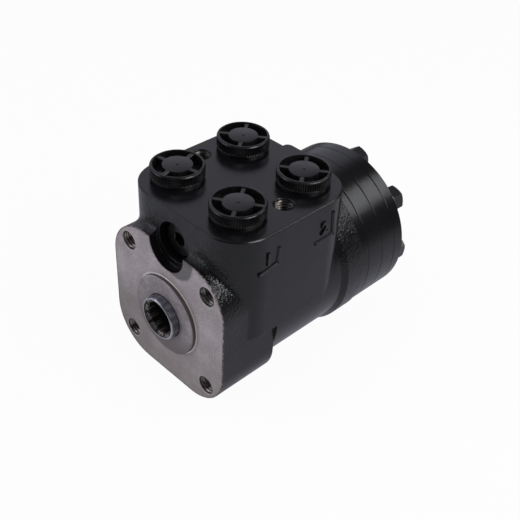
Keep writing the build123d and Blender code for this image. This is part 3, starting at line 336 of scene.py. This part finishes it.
def painted_casting():
    """The housing: black paint over rough cast iron, with the front faces machined bare."""
    g = Graph("painted_casting")
    x, y, z = g.axes()
    # distance outwards from the centres of the flange's rounded corners
    out_x = g.math("MAXIMUM", g.less(g.math("ABSOLUTE", x), FLANGE_HALF - FLANGE_CORNER), 0.0)
    out_z = g.math("MAXIMUM", g.less(g.math("ABSOLUTE", z), FLANGE_HALF - FLANGE_CORNER), 0.0)
    corner = g.length(out_x, out_z)
    bare = unpainted(g, x, y, z)
    clouds = g.span(g.noise(14 * MM, 5.0, 0.6), 0.35, 0.7)
    iron = flange_iron(g, x, z, clouds, corner)
    iron = pilot_iron(g, iron, x, y, z)
    iron = scratched_iron(g, iron, x, z)
    shape = casting_shape(g, y, z, corner, bare)
    colour = g.mix(bare, paint_colour(g), iron)
    gloss = g.mix_value(bare, g.mix_value(g.noise(6 * MM, 3.0), 0.19, 0.27), g.mix_value(clouds, 0.50, 0.40))
    return g.surface(colour, gloss, shape, metallic=g.times(bare, 0.45))


def painted_turned():
    """Black paint over turned steel: smooth, with faint turning lines round the axis."""
    g = Graph("painted_steel")
    turning = g.noise(0.9 * MM, 2.0, stretch=(0.03, 1.0, 0.03))
    shape = g.bump(turning, 0.10 * MM, 0.35, g.rounded(0.45 * MM))
    shape = g.bump(g.noise(5 * MM, 2.0), 0.5 * MM, 0.10, shape)
    gloss = g.mix_value(g.noise(7 * MM, 3.0), 0.20, 0.26)
    return g.surface(paint_colour(g), gloss, shape, specular=0.55)


def painted_fastener():
    """Thin black paint on screw heads, worn through on the corners."""
    g = Graph("painted_fastener")
    soft_normal = g.rounded(0.5 * MM)
    hard = g.node("ShaderNodeNewGeometry").outputs["True Normal"]
    turn = g.node("ShaderNodeVectorMath", operation="DOT_PRODUCT")
    g.feed(turn.inputs[0], soft_normal)
    g.feed(turn.inputs[1], hard)
    corner = g.span(turn.outputs["Value"], 0.97, 0.82)
    worn = g.times(corner, g.span(g.noise(1.6 * MM), 0.42, 0.62))
    colour = g.mix(0.45, paint_colour(g), (0.030, 0.030, 0.034))
    colour = g.mix(g.times(worn, 0.6), colour, (0.20, 0.19, 0.19))
    shape = g.bump(g.noise(1.2 * MM, 3.0), 0.15 * MM, 0.3, soft_normal)
    return g.surface(colour, g.mix_value(worn, 0.24, 0.30), shape, metallic=g.times(worn, 0.7))


def bare_metal(name, light, dark, roughness):
    """Turned bare metal with fine lines round the shaft axis and a little staining."""
    g = Graph(name)
    lines = g.noise(0.8 * MM, 3.0, 0.6, stretch=(0.05, 1.0, 0.05))
    stains = g.span(g.noise(6 * MM, 4.0), 0.38, 0.72)
    colour = g.mix(stains, light, dark)
    colour = g.mix(g.times(g.span(lines, 0.4, 0.7), 0.35), colour, dark)
    shape = g.bump(lines, 0.05 * MM, 0.4, g.rounded(0.15 * MM))
    gloss = g.mix_value(stains, roughness, roughness + 0.14)
    return g.surface(colour, gloss, shape, metallic=0.9)


SPLINE_TIP_GAP = 0.33             # half the gap at the tips, in tooth pitches
SPLINE_SHADE_RADIUS = 11.7 * MM   # where the dark of the gaps comes to a point
OIL_AND_SHADE_DARK = (0.022, 0.019, 0.017)


def spool_steel():
    """Polished shaft end with painted reflection streaks and a painted highlight on its nose; oily and darkened
    with painted shade inside its splined bore, most in the gaps between the teeth.
    """
    g = Graph("spool_steel")
    x, y, z = g.axes()
    from_axis = g.length(x, z)
    bore = g.times(
        g.span(from_axis, LIP_BORE_RADIUS, LIP_BORE_RADIUS - 0.35 * MM),
        g.span(y, SPOOL_NOSE_Y + 0.2 * MM, SPOOL_NOSE_Y + 0.7 * MM),
    )
    # painted shade, with oil: darker the deeper into the bore
    deep_shade = g.times(bore, g.span(y, TEETH_FRONT_Y + 0.3 * MM, TEETH_FRONT_Y + 7.7 * MM))
    # painted shade: dark wedges in the gaps between the teeth, narrower outwards
    pitch = g.times(g.math("ARCTAN2", x, z), SPLINE_TEETH / (2 * pi))
    off_gap = g.math("ABSOLUTE", g.less(g.math("FRACT", pitch), 0.5))
    narrowing = SPLINE_TIP_GAP / (SPLINE_SHADE_RADIUS - SPLINE_TIP_RADIUS)
    gap_width = g.times(g.less(SPLINE_SHADE_RADIUS, from_axis), narrowing)
    gap_shade = g.span(g.less(off_gap, gap_width), 0.03, -0.03)
    deep_shade = g.math("MAXIMUM", deep_shade, g.times(gap_shade, bore))
    lines = g.noise(0.7 * MM, 3.0, 0.6, stretch=(0.05, 1.0, 0.05))
    stains = g.span(g.noise(4 * MM, 4.0), 0.38, 0.72)
    # painted reflection: light and dark streaks along the polished outside
    reflection_bands = g.span(g.noise(3.4 * MM, 2.0, stretch=(1.0, 0.08, 1.0)), 0.42, 0.60)
    colour = g.mix(stains, (0.33, 0.33, 0.38), (0.20, 0.19, 0.22))
    colour = g.mix(g.times(reflection_bands, 0.55), colour, (0.10, 0.10, 0.115))
    # painted highlight on the rim of the nose
    colour = g.mix(g.span(y, SPOOL_NOSE_Y + 0.5 * MM, SPOOL_NOSE_Y + 0.2 * MM), colour, (0.50, 0.50, 0.53))
    colour = g.mix(bore, colour, (0.52, 0.49, 0.47))
    # oil and painted shade darken the inside of the bore and the gaps between the teeth
    colour = g.mix(g.times(deep_shade, 0.9), colour, OIL_AND_SHADE_DARK)
    shape = g.bump(lines, 0.05 * MM, 0.4, g.rounded(0.15 * MM))
    gloss = g.mix_value(bore, g.mix_value(stains, 0.20, 0.30), 0.38)
    return g.surface(colour, gloss, shape, metallic=0.9)


def black_plastic():
    """Moulded black plastic, very slightly mottled."""
    g = Graph("black_plastic")
    flow = g.span(g.noise(7 * MM, 3.0, distortion=0.6), 0.35, 0.7)
    dust = g.span(g.noise(0.7 * MM, 2.0), 0.66, 0.76)
    colour = g.mix(flow, (0.0038, 0.0038, 0.0042), (0.0065, 0.0065, 0.0072))
    colour = g.mix(g.times(dust, 0.25), colour, (0.03, 0.03, 0.033))
    shape = g.bump(g.noise(0.6 * MM, 2.0), 0.05 * MM, 0.35)
    return g.surface(colour, g.mix_value(flow, 0.24, 0.34), shape)


def soft_material(name, colour, roughness):
    """Rubber or soft plastic with a fine moulded grain."""
    g = Graph(name)
    clouds = g.span(g.noise(3 * MM, 3.0), 0.35, 0.7)
    paler = tuple(min(1.0, channel * 1.6 + 0.01) for channel in colour)
    shape = g.bump(g.noise(0.4 * MM, 2.0), 0.04 * MM, 0.4)
    return g.surface(g.mix(clouds, colour, paler), roughness, shape, specular=0.4)


MATERIALS = {
    "casting_paint": painted_casting(),
    "painted_steel": painted_turned(),
    "painted_screw": painted_fastener(),
    "bright_steel": bare_metal("bright_steel", (0.42, 0.41, 0.43), (0.26, 0.25, 0.26), 0.28),
    "hardened_steel": bare_metal("hardened_steel", (0.36, 0.36, 0.38), (0.22, 0.22, 0.24), 0.25),
    "spring_steel": bare_metal("spring_steel", (0.22, 0.23, 0.27), (0.12, 0.13, 0.16), 0.30),
    "zinc_steel": bare_metal("zinc_steel", (0.52, 0.47, 0.36), (0.36, 0.31, 0.22), 0.34),
    "copper_washer": bare_metal("copper_washer", (0.60, 0.34, 0.22), (0.38, 0.20, 0.12), 0.36),
    "seal_rubber": soft_material("seal_rubber", (0.012, 0.012, 0.012), 0.55),
    "seal_plastic": soft_material("seal_plastic", (0.10, 0.17, 0.14), 0.45),
    "plug_plastic": black_plastic(),
    "machined_iron": bare_metal("machined_iron", (0.40, 0.38, 0.38), (0.22, 0.20, 0.20), 0.34),
}
MATERIALS["spool"] = spool_steel()
MATERIALS["relief_plug_seal"] = MATERIALS["painted_steel"]
slot_of = {entry["node"]: entry["material_slot"] for entry in frame["record"]["subparts"]}
for name, node in nodes.items():
    node.data.materials.clear()
    node.data.materials.append(MATERIALS.get(name, MATERIALS[slot_of[name]]))


# ---- Mesh helpers ----
def new_piece(name, mesh_builder, material, body):
    """A smooth-shaded mesh object with sharp corners kept, which rides on a body."""
    work = bmesh.new()
    mesh_builder(work)
    bmesh.ops.recalc_face_normals(work, faces=work.faces)
    mesh = bpy.data.meshes.new(name)
    work.to_mesh(mesh)
    work.free()
    mesh.materials.append(material)
    mesh.shade_smooth()
    mesh.set_sharp_from_angle(angle=radians(35))
    piece = bpy.data.objects.new(name, mesh)
    bpy.context.scene.collection.objects.link(piece)
    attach(piece, body)
    return piece


def circle(place, radius, height, steps):
    """Points of a circle about place's Z axis."""
    angles = [2 * pi * k / steps for k in range(steps)]
    return [place @ Vector((radius * cos(angle), radius * sin(angle), height)) for angle in angles]


def capped(work, rings):
    """Open row of rings with a face on each end."""
    made = add_rings(work, rings, closed_loop=False)
    work.faces.new(made[0])
    work.faces.new(made[-1])


def add_rings(work, rings, closed_loop=True):
    """Quads between rings of points; the last ring joins the first if closed_loop."""
    made = [[work.verts.new(point) for point in ring] for ring in rings]
    pairs = list(zip(made, made[1:])) + ([(made[-1], made[0])] if closed_loop else [])
    for first, second in pairs:
        for k in range(len(first)):
            n = (k + 1) % len(first)
            work.faces.new((first[k], first[n], second[n], second[k]))
    return made


def turned(work, place, profile, steps=96, ripple=None):
    """Closed ring about place's Z axis from a loop of (radius, height) points.
    ripple(angle, index) is added to the radius of profile point index."""
    rings = []
    for index, (radius, height) in enumerate(profile):
        ring = []
        for k in range(steps):
            angle = 2 * pi * k / steps
            r = radius + (ripple(angle, index) if ripple else 0.0)
            ring.append(place @ Vector((r * cos(angle), r * sin(angle), height)))
        rings.append(ring)
    add_rings(work, rings)


def disc(work, place, radius, top, bottom, edge, steps=96):
    """Solid disc with a rounded top edge."""
    pole = 0.001 * radius
    profile = (
        (pole, bottom), (radius, bottom), (radius, top - edge),
        (radius - 0.3 * edge, top - 0.3 * edge), (radius - edge, top), (pole, top),
    )
    capped(work, [circle(place, r, height, steps) for r, height in profile])


def bar(work, place, length, width, top, bottom, start):
    """Spoke along place's X axis, from start outwards, with eased top edges."""
    ease = 0.25 * MM
    half = width / 2
    outline = (
        (-half, bottom), (half, bottom), (half, top - ease),
        (half - ease, top), (ease - half, top), (-half, top - ease),
    )
    capped(work, [[place @ Vector((x, y, z)) for y, z in outline] for x in (start, start + length)])


# ---- Port plugs ----
PLUG_RADIUS = 13.75 * MM
PLUG_FOOT_RADIUS = 12.75 * MM
PLUG_TOP = 7.6 * MM
PLUG_FLOOR = 2.9 * MM
PLUG_HUB = 7.7 * MM
PLUG_RIM_INNER = 12.2 * MM
PLUG_SPOKE = 2.3 * MM
PLUG_SEAT = 0.02 * MM           # the plug's underside, just off the port face
KNURLS = 72
KNURL_DEPTH = 0.42 * MM
KNURL_BOTTOM = 2.3 * MM
KNURL_TOP = 6.3 * MM
STEM_BORE = 8.6 * MM
STEM_ROOT = 9.3 * MM
STEM_CREST = 10.35 * MM
STEM_END_RADIUS = 9.6 * MM
STEM_DEPTH = 12 * MM
STEM_PITCH = 1.81 * MM          # G 1/2 thread
STEM_FLANKS = 12


def plug_rim_profile():
    """(radius, height) points of the rim, and which of them are knurled."""
    points = [
        (PLUG_RIM_INNER - 0.1 * MM, PLUG_SEAT), (PLUG_FOOT_RADIUS, PLUG_SEAT), (PLUG_FOOT_RADIUS, 1.1 * MM),
        (13.2 * MM, 1.5 * MM), (PLUG_RADIUS, KNURL_BOTTOM - 0.4 * MM), (PLUG_RADIUS, KNURL_BOTTOM),
        (PLUG_RADIUS, KNURL_TOP), (PLUG_RADIUS, KNURL_TOP + 0.3 * MM), (PLUG_RADIUS - 0.25 * MM, 7.2 * MM),
        (PLUG_RADIUS - 0.7 * MM, PLUG_TOP - 0.05 * MM), (12.6 * MM, PLUG_TOP), (12.3 * MM, PLUG_TOP - 0.12 * MM),
        (PLUG_RIM_INNER, PLUG_TOP - 0.4 * MM), (PLUG_RIM_INNER - 0.1 * MM, PLUG_FLOOR),
    ]
    knurled = [index for index, (_, height) in enumerate(points) if height in (KNURL_BOTTOM, KNURL_TOP)]
    return points, knurled


def plug_stem_profile():
    """(radius, height) points of the threaded stem, as plain grooves."""
    stem = [(STEM_BORE, PLUG_SEAT), (STEM_BORE, -STEM_DEPTH), (STEM_END_RADIUS, -STEM_DEPTH)]
    for k in range(STEM_FLANKS):
        radius = STEM_CREST if k % 2 else STEM_ROOT
        stem.append((radius, -STEM_DEPTH + 0.4 * MM + k * STEM_PITCH / 2))
    stem.append((STEM_END_RADIUS, PLUG_SEAT))
    return stem


def plug_mesh(x, y, turn):
    """Builder of a knurled plug: rim, sunk floor, hub with a centre dot, four spokes and stem."""
    place = Matrix.Translation((x, y, PORT_FACE)) @ Matrix.Rotation(radians(turn), 4, "Z")
    rim, knurled = plug_rim_profile()

    def ripple(angle, index):
        return -KNURL_DEPTH * (0.5 + 0.5 * cos(KNURLS * angle)) if index in knurled else 0.0

    def build(work):
        turned(work, place, rim, steps=KNURLS * 4, ripple=ripple)
        disc(work, place, PLUG_RIM_INNER, PLUG_FLOOR, PLUG_SEAT, 0.02 * MM)
        disc(work, place, PLUG_HUB, PLUG_TOP - 0.35 * MM, PLUG_FLOOR - 0.5 * MM, 0.35 * MM)
        disc(work, place, 0.8 * MM, PLUG_TOP - 0.1 * MM, PLUG_TOP - 0.5 * MM, 0.12 * MM, steps=24)
        reach = PLUG_RIM_INNER - PLUG_HUB + 0.6 * MM
        for quarter in range(4):
            spoke = place @ Matrix.Rotation(quarter * pi / 2, 4, "Z")
            bar(work, spoke, reach, PLUG_SPOKE, PLUG_TOP - 0.5 * MM, PLUG_FLOOR - 0.5 * MM, PLUG_HUB - 0.3 * MM)
        turned(work, place, plug_stem_profile())

    return build


for name, (x, y, turn) in PLUGS.items():
    plug = new_piece(name + "_moulding", plug_mesh(x, y, turn), MATERIALS["plug_plastic"], name)
    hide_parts(name)


# ---- Relief valve plug ----
RELIEF_HEAD = 4.6 * MM
RELIEF_RADIUS = 9.1 * MM
SOCKET_APOTHEM = 3.25 * MM
SOCKET_FLOOR = 0.6 * MM
SEAT_RING_INNER = 9.35 * MM
SEAT_RING_OUTER = 10.4 * MM
SEAT_RING_HEIGHT = 1.8 * MM
FRONT_TURN = Matrix.Rotation(radians(90), 4, "X")   # turns an axis from up to the front
RELIEF_PLACE = Matrix.Translation((0, SPOTFACE_Y, RELIEF_HEIGHT)) @ FRONT_TURN


def relief_plug_mesh(work):
    """Screwed plug with a hexagon socket and an eased edge."""
    profile = (
        (RELIEF_RADIUS, 0.0), (RELIEF_RADIUS, RELIEF_HEAD - 0.7 * MM),
        (RELIEF_RADIUS - 0.15 * MM, RELIEF_HEAD - 0.3 * MM), (RELIEF_RADIUS - 0.5 * MM, RELIEF_HEAD),
        (SOCKET_APOTHEM + 0.45 * MM, RELIEF_HEAD), (SOCKET_APOTHEM, RELIEF_HEAD - 0.4 * MM),
        (SOCKET_APOTHEM, SOCKET_FLOOR), (0.02 * MM, SOCKET_FLOOR), (0.02 * MM, 0.0),
    )
    hexagonal = (5, 6)

    def socket(angle, index):
        corner = (angle + pi / 6) % (pi / 3) - pi / 6
        return SOCKET_APOTHEM * (1 / cos(corner) - 1) if index in hexagonal else 0.0

    turned(work, RELIEF_PLACE, profile, ripple=socket)


def seat_ring_mesh(work):
    """Raised painted ring on the spot face round the plug."""
    shoulder = SEAT_RING_HEIGHT - 0.3 * MM
    profile = (
        (SEAT_RING_INNER, -0.2 * MM), (SEAT_RING_INNER, shoulder), (SEAT_RING_INNER + 0.25 * MM, SEAT_RING_HEIGHT),
        (SEAT_RING_OUTER - 0.3 * MM, SEAT_RING_HEIGHT), (SEAT_RING_OUTER, shoulder), (SEAT_RING_OUTER, -0.2 * MM),
    )
    turned(work, RELIEF_PLACE, profile)


seat_ring = new_piece("relief_seat_ring", seat_ring_mesh, MATERIALS["painted_steel"], "housing")
relief_head = new_piece("relief_plug_head", relief_plug_mesh, MATERIALS["painted_steel"], "housing")
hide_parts("relief_plug")


# ---- Threads in the tapped holes ----
THREAD_STEPS = 56               # points round the thread
THREAD_LAYERS = 9               # rings of points for each turn
THREAD_OFF_WALL = 0.02 * MM     # keeps the thread just inside the hole's wall


def thread_radius(depth, angle):
    """Radius of the thread's surface, cut away towards the countersink."""
    phase = (depth / M10_PITCH - angle / (2 * pi)) % 1.0
    crest = min(1.0, max(0.0, (1.0 - abs(2 * phase - 1.0)) * 1.25 - 0.1))
    root = M10_RADIUS - THREAD_OFF_WALL
    run_in = min(root, M10_RADIUS + 0.6 * MM - (depth - COUNTERSINK))
    return max(root - (M10_RADIUS - M10_MINOR) * crest, run_in)


def thread_mesh(place):
    """Builder of the threaded wall of a hole; place's Z axis points out of the hole."""
    layers = int(THREAD_LENGTH / M10_PITCH * THREAD_LAYERS)

    def build(work):
        rings = []
        for layer in range(layers + 1):
            depth = COUNTERSINK + layer * M10_PITCH / THREAD_LAYERS
            ring = []
            for k in range(THREAD_STEPS):
                angle = 2 * pi * k / THREAD_STEPS
                radius = thread_radius(depth, angle)
                ring.append(place @ Vector((radius * cos(angle), radius * sin(angle), -depth)))
            rings.append(ring)
        for depth in (COUNTERSINK + THREAD_LENGTH, COUNTERSINK):
            rings.append(circle(place, M10_RADIUS - THREAD_OFF_WALL / 2, -depth, THREAD_STEPS))
        add_rings(work, rings)

    return build


def thread_metal(name, pale, oily):
    """Cut thread, oily and darker in places."""
    g = Graph(name)
    oil = g.span(g.noise(2.2 * MM, 3.0), 0.40, 0.66)
    colour = g.mix(oil, pale, oily)
    shape = g.bump(g.noise(0.4 * MM), 0.03 * MM, 0.4)
    return g.surface(colour, g.mix_value(oil, 0.26, 0.36), shape, metallic=0.85)


FRONT_THREAD = thread_metal("front_thread", (0.34, 0.30, 0.28), (0.085, 0.075, 0.070))
TOP_THREAD = thread_metal("top_thread", (0.13, 0.115, 0.105), (0.028, 0.025, 0.024))
hole_places = []
for side in (-1, 1):
    for level in (-1, 1):
        corner_place = Matrix.Translation((side * FRONT_HOLE, 0, level * FRONT_HOLE)) @ FRONT_TURN
        hole_places.append((corner_place, FRONT_THREAD))
for x, y in ACCESSORY_HOLES:
    hole_places.append((Matrix.Translation((x, y, PORT_FACE)), TOP_THREAD))
for index, (place, metal) in enumerate(hole_places):
    thread = new_piece(f"thread_{index + 1}", thread_mesh(place), metal, "housing")


# ---- Cast marks on the side of the port block ----
MARK_HEIGHT = 0.8 * MM
MARK_WIDTH = 1.5 * MM
MARK_SUNK = 0.2 * MM            # how far the lines reach into the wall
NUMERAL_SIZE = 9.5 * MM
NUMERAL_LEVEL = 46.5 * MM
BRACKETS = {
    "cast_bracket_back": ((69.3 * MM, 53.2 * MM), (70.5 * MM, 40.0 * MM), (58.2 * MM, 39.3 * MM)),
    "cast_bracket_front": ((32.3 * MM, 50.3 * MM), (31.7 * MM, 41.9 * MM), (20.1 * MM, 39.7 * MM)),
}
NUMERALS = {
    "cast_numeral_back": ("2", 63.5 * MM),
    "cast_numeral_front": ("1", 25.2 * MM),
}


def raised_line(work, points):
    """Raised cast line through (y, z) points on the right side wall, with sloping flanks."""
    for (y0, z0), (y1, z1) in zip(points, points[1:]):
        along = Vector((0, y1 - y0, z1 - z0)).normalized()
        side = Vector((0, -along.z, along.y))
        start = Vector((BLOCK_RIGHT, y0, z0)) - along * MARK_WIDTH * 0.4
        end = Vector((BLOCK_RIGHT, y1, z1)) + along * MARK_WIDTH * 0.4
        sunk = Vector((-MARK_SUNK, 0, 0))
        raised = Vector((MARK_HEIGHT, 0, 0))
        rings = []
        for centre, inward in ((start, along * MARK_WIDTH * 0.25), (end, -along * MARK_WIDTH * 0.25)):
            rings.append([
                centre - side * (MARK_WIDTH * 0.75) + sunk,
                centre - side * (MARK_WIDTH * 0.35) + inward + raised,
                centre + side * (MARK_WIDTH * 0.35) + inward + raised,
                centre + side * (MARK_WIDTH * 0.75) + sunk,
            ])
        capped(work, rings)


def digit_mark(name, text, y):
    """Raised numeral on the right side wall, read from the right."""
    curve = bpy.data.curves.new(name, "FONT")
    curve.body = text
    curve.size = NUMERAL_SIZE
    curve.extrude = MARK_HEIGHT
    curve.bevel_depth = 0.12 * MM
    curve.offset = 0.22 * MM
    curve.align_x = "CENTER"
    curve.align_y = "CENTER"
    text_object = bpy.data.objects.new(name + "_text", curve)
    mesh = bpy.data.meshes.new_from_object(text_object)
    bpy.data.objects.remove(text_object)
    stand = Matrix.Rotation(radians(90), 4, "Z") @ Matrix.Rotation(radians(90), 4, "X")
    mesh.transform(Matrix.Translation((BLOCK_RIGHT, y, NUMERAL_LEVEL)) @ stand)
    mesh.name = name
    mesh.materials.append(MATERIALS["painted_steel"])
    mark = bpy.data.objects.new(name, mesh)
    bpy.context.scene.collection.objects.link(mark)
    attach(mark, "housing")


for name, points in BRACKETS.items():
    build_bracket = partial(raised_line, points=points)
    bracket = new_piece(name, build_bracket, MATERIALS["painted_steel"], "housing")
for name, (text, y) in NUMERALS.items():
    digit_mark(name, text, y)


# ---- Floor and studio ----
class Light(Nodes):
    """The node tree of the floor or the world."""

    def __init__(self, tree):
        super().__init__(tree)
        self.path = self.node("ShaderNodeLightPath").outputs

    def mirrored(self):
        """1 for rays that show this in gloss or through glass."""
        return self.math("MAXIMUM", self.path["Is Glossy Ray"], self.path["Is Transmission Ray"])

    def glow(self, kind, colour, strength):
        made = self.node(kind)
        made.inputs["Color"].default_value = (*colour, 1)
        self.feed(made.inputs["Strength"], strength)
        return made.outputs[0]

    def blend(self, factor, first, second):
        made = self.node("ShaderNodeMixShader")
        self.feed(made.inputs["Fac"], factor)
        self.feed(made.inputs[1], first)
        self.feed(made.inputs[2], second)
        return made.outputs[0]

    def finish(self, kind, shader):
        self.feed(self.node(kind).inputs["Surface"], shader)


STUDIO_TINT = (0.96, 0.97, 1.12)
WHITE = (1, 1, 1)
FLOOR_Z = -45.25 * MM
FLOOR_REACH = 4.0
FLOOR_GREY = (0.72, 0.72, 0.72, 1)


def white_floor():
    """Floor that is white to the camera but keeps the shadow; in gloss it darkens away from the object."""
    g = Light(floor_material.node_tree)
    sheet = g.node("ShaderNodeBsdfDiffuse")
    sheet.inputs["Color"].default_value = FLOOR_GREY
    from_object = g.node("ShaderNodeVectorMath", operation="LENGTH")
    g.feed(from_object.inputs[0], g.node("ShaderNodeTexCoord").outputs["Object"])
    near = g.span(from_object.outputs["Value"], 0.60, 0.16)
    seen_white = g.glow("ShaderNodeEmission", WHITE, 1.0)
    seen_in_gloss = g.glow("ShaderNodeEmission", STUDIO_TINT, g.add(0.03, g.times(near, 0.37)))
    lit = g.blend(g.times(g.mirrored(), 0.85), sheet.outputs[0], seen_in_gloss)
    lit = g.blend(g.times(g.path["Is Camera Ray"], 0.95), lit, seen_white)
    g.finish("ShaderNodeOutputMaterial", lit)


def studio_room():
    """White to the camera; in gloss a pale wall on the left and a dark room on the right."""
    g = Light(world.node_tree)
    split = g.node("ShaderNodeSeparateXYZ")
    g.feed(split.inputs[0], g.node("ShaderNodeTexCoord").outputs["Generated"])
    left = g.span(split.outputs["X"], -0.16, -0.44)
    gloss = g.glow("ShaderNodeBackground", STUDIO_TINT, g.add(0.06, g.times(left, 0.47)))
    ambient = g.glow("ShaderNodeBackground", (0.98, 0.98, 1), 0.45)
    white = g.glow("ShaderNodeBackground", WHITE, 1.0)
    shown = g.blend(g.mirrored(), ambient, gloss)
    g.finish("ShaderNodeOutputWorld", g.blend(g.path["Is Camera Ray"], shown, white))


floor_corners = [(sx * FLOOR_REACH, sy * FLOOR_REACH, FLOOR_Z) for sx, sy in ((-1, -1), (1, -1), (1, 1), (-1, 1))]
floor_mesh = bpy.data.meshes.new("floor")
floor_mesh.from_pydata(floor_corners, [], [(0, 1, 2, 3)])
floor_object = bpy.data.objects.new("floor", floor_mesh)
bpy.context.scene.collection.objects.link(floor_object)
floor_material = bpy.data.materials.new("floor_white")
floor_material.use_nodes = True
floor_mesh.materials.append(floor_material)
white_floor()

world = bpy.data.worlds.new("studio")
bpy.context.scene.world = world
world.use_nodes = True
studio_room()


# ---- Lamps and camera ----
OBJECT_CENTRE = Vector((0.0, 0.05, 0.01))


def softbox(name, direction, distance, width, height, power, in_gloss=True):
    """Rectangular lamp in a direction from the object, facing it."""
    lamp = bpy.data.lights.new(name, "AREA")
    lamp.shape = "RECTANGLE"
    lamp.size = width
    lamp.size_y = height
    lamp.energy = power
    lamp.color = (0.97, 0.98, 1.0)
    holder = bpy.data.objects.new(name, lamp)
    bpy.context.scene.collection.objects.link(holder)
    away = Vector(direction).normalized()
    holder.location = OBJECT_CENTRE + away * distance
    holder.rotation_euler = away.to_track_quat("Z", "Y").to_euler()
    holder.visible_glossy = in_gloss


softbox("back_softbox", (0.43, 0.69, 0.59), 0.9, 0.44, 0.30, 1.0)
softbox("side_softbox", (0.74, 0.13, 0.66), 0.9, 0.46, 0.38, 3.4)
softbox("left_softbox", (-0.55, -0.79, 0.28), 0.9, 0.40, 0.26, 0.42)
softbox("top_softbox", (-0.1, -0.15, 1.0), 1.0, 0.7, 0.7, 1.2, in_gloss=False)
softbox("front_softbox", (-0.45, -0.85, 0.35), 1.0, 0.7, 0.7, 2.8, in_gloss=False)

CAMERA_PLACE = (253.02 * MM, -199.83 * MM, 286.31 * MM)
CAMERA_TURN = (51.991, -2.533, 45.653)   # degrees
LENS = 58.88
SENSOR_WIDTH = 36.0

camera_data = bpy.data.cameras.new("camera")
camera_data.lens = LENS
camera_data.sensor_width = SENSOR_WIDTH
camera = bpy.data.objects.new("camera", camera_data)
bpy.context.scene.collection.objects.link(camera)
camera.location = CAMERA_PLACE
camera.rotation_euler = [radians(angle) for angle in CAMERA_TURN]
bpy.context.scene.camera = camera
bpy.context.scene.view_settings.view_transform = "Standard"
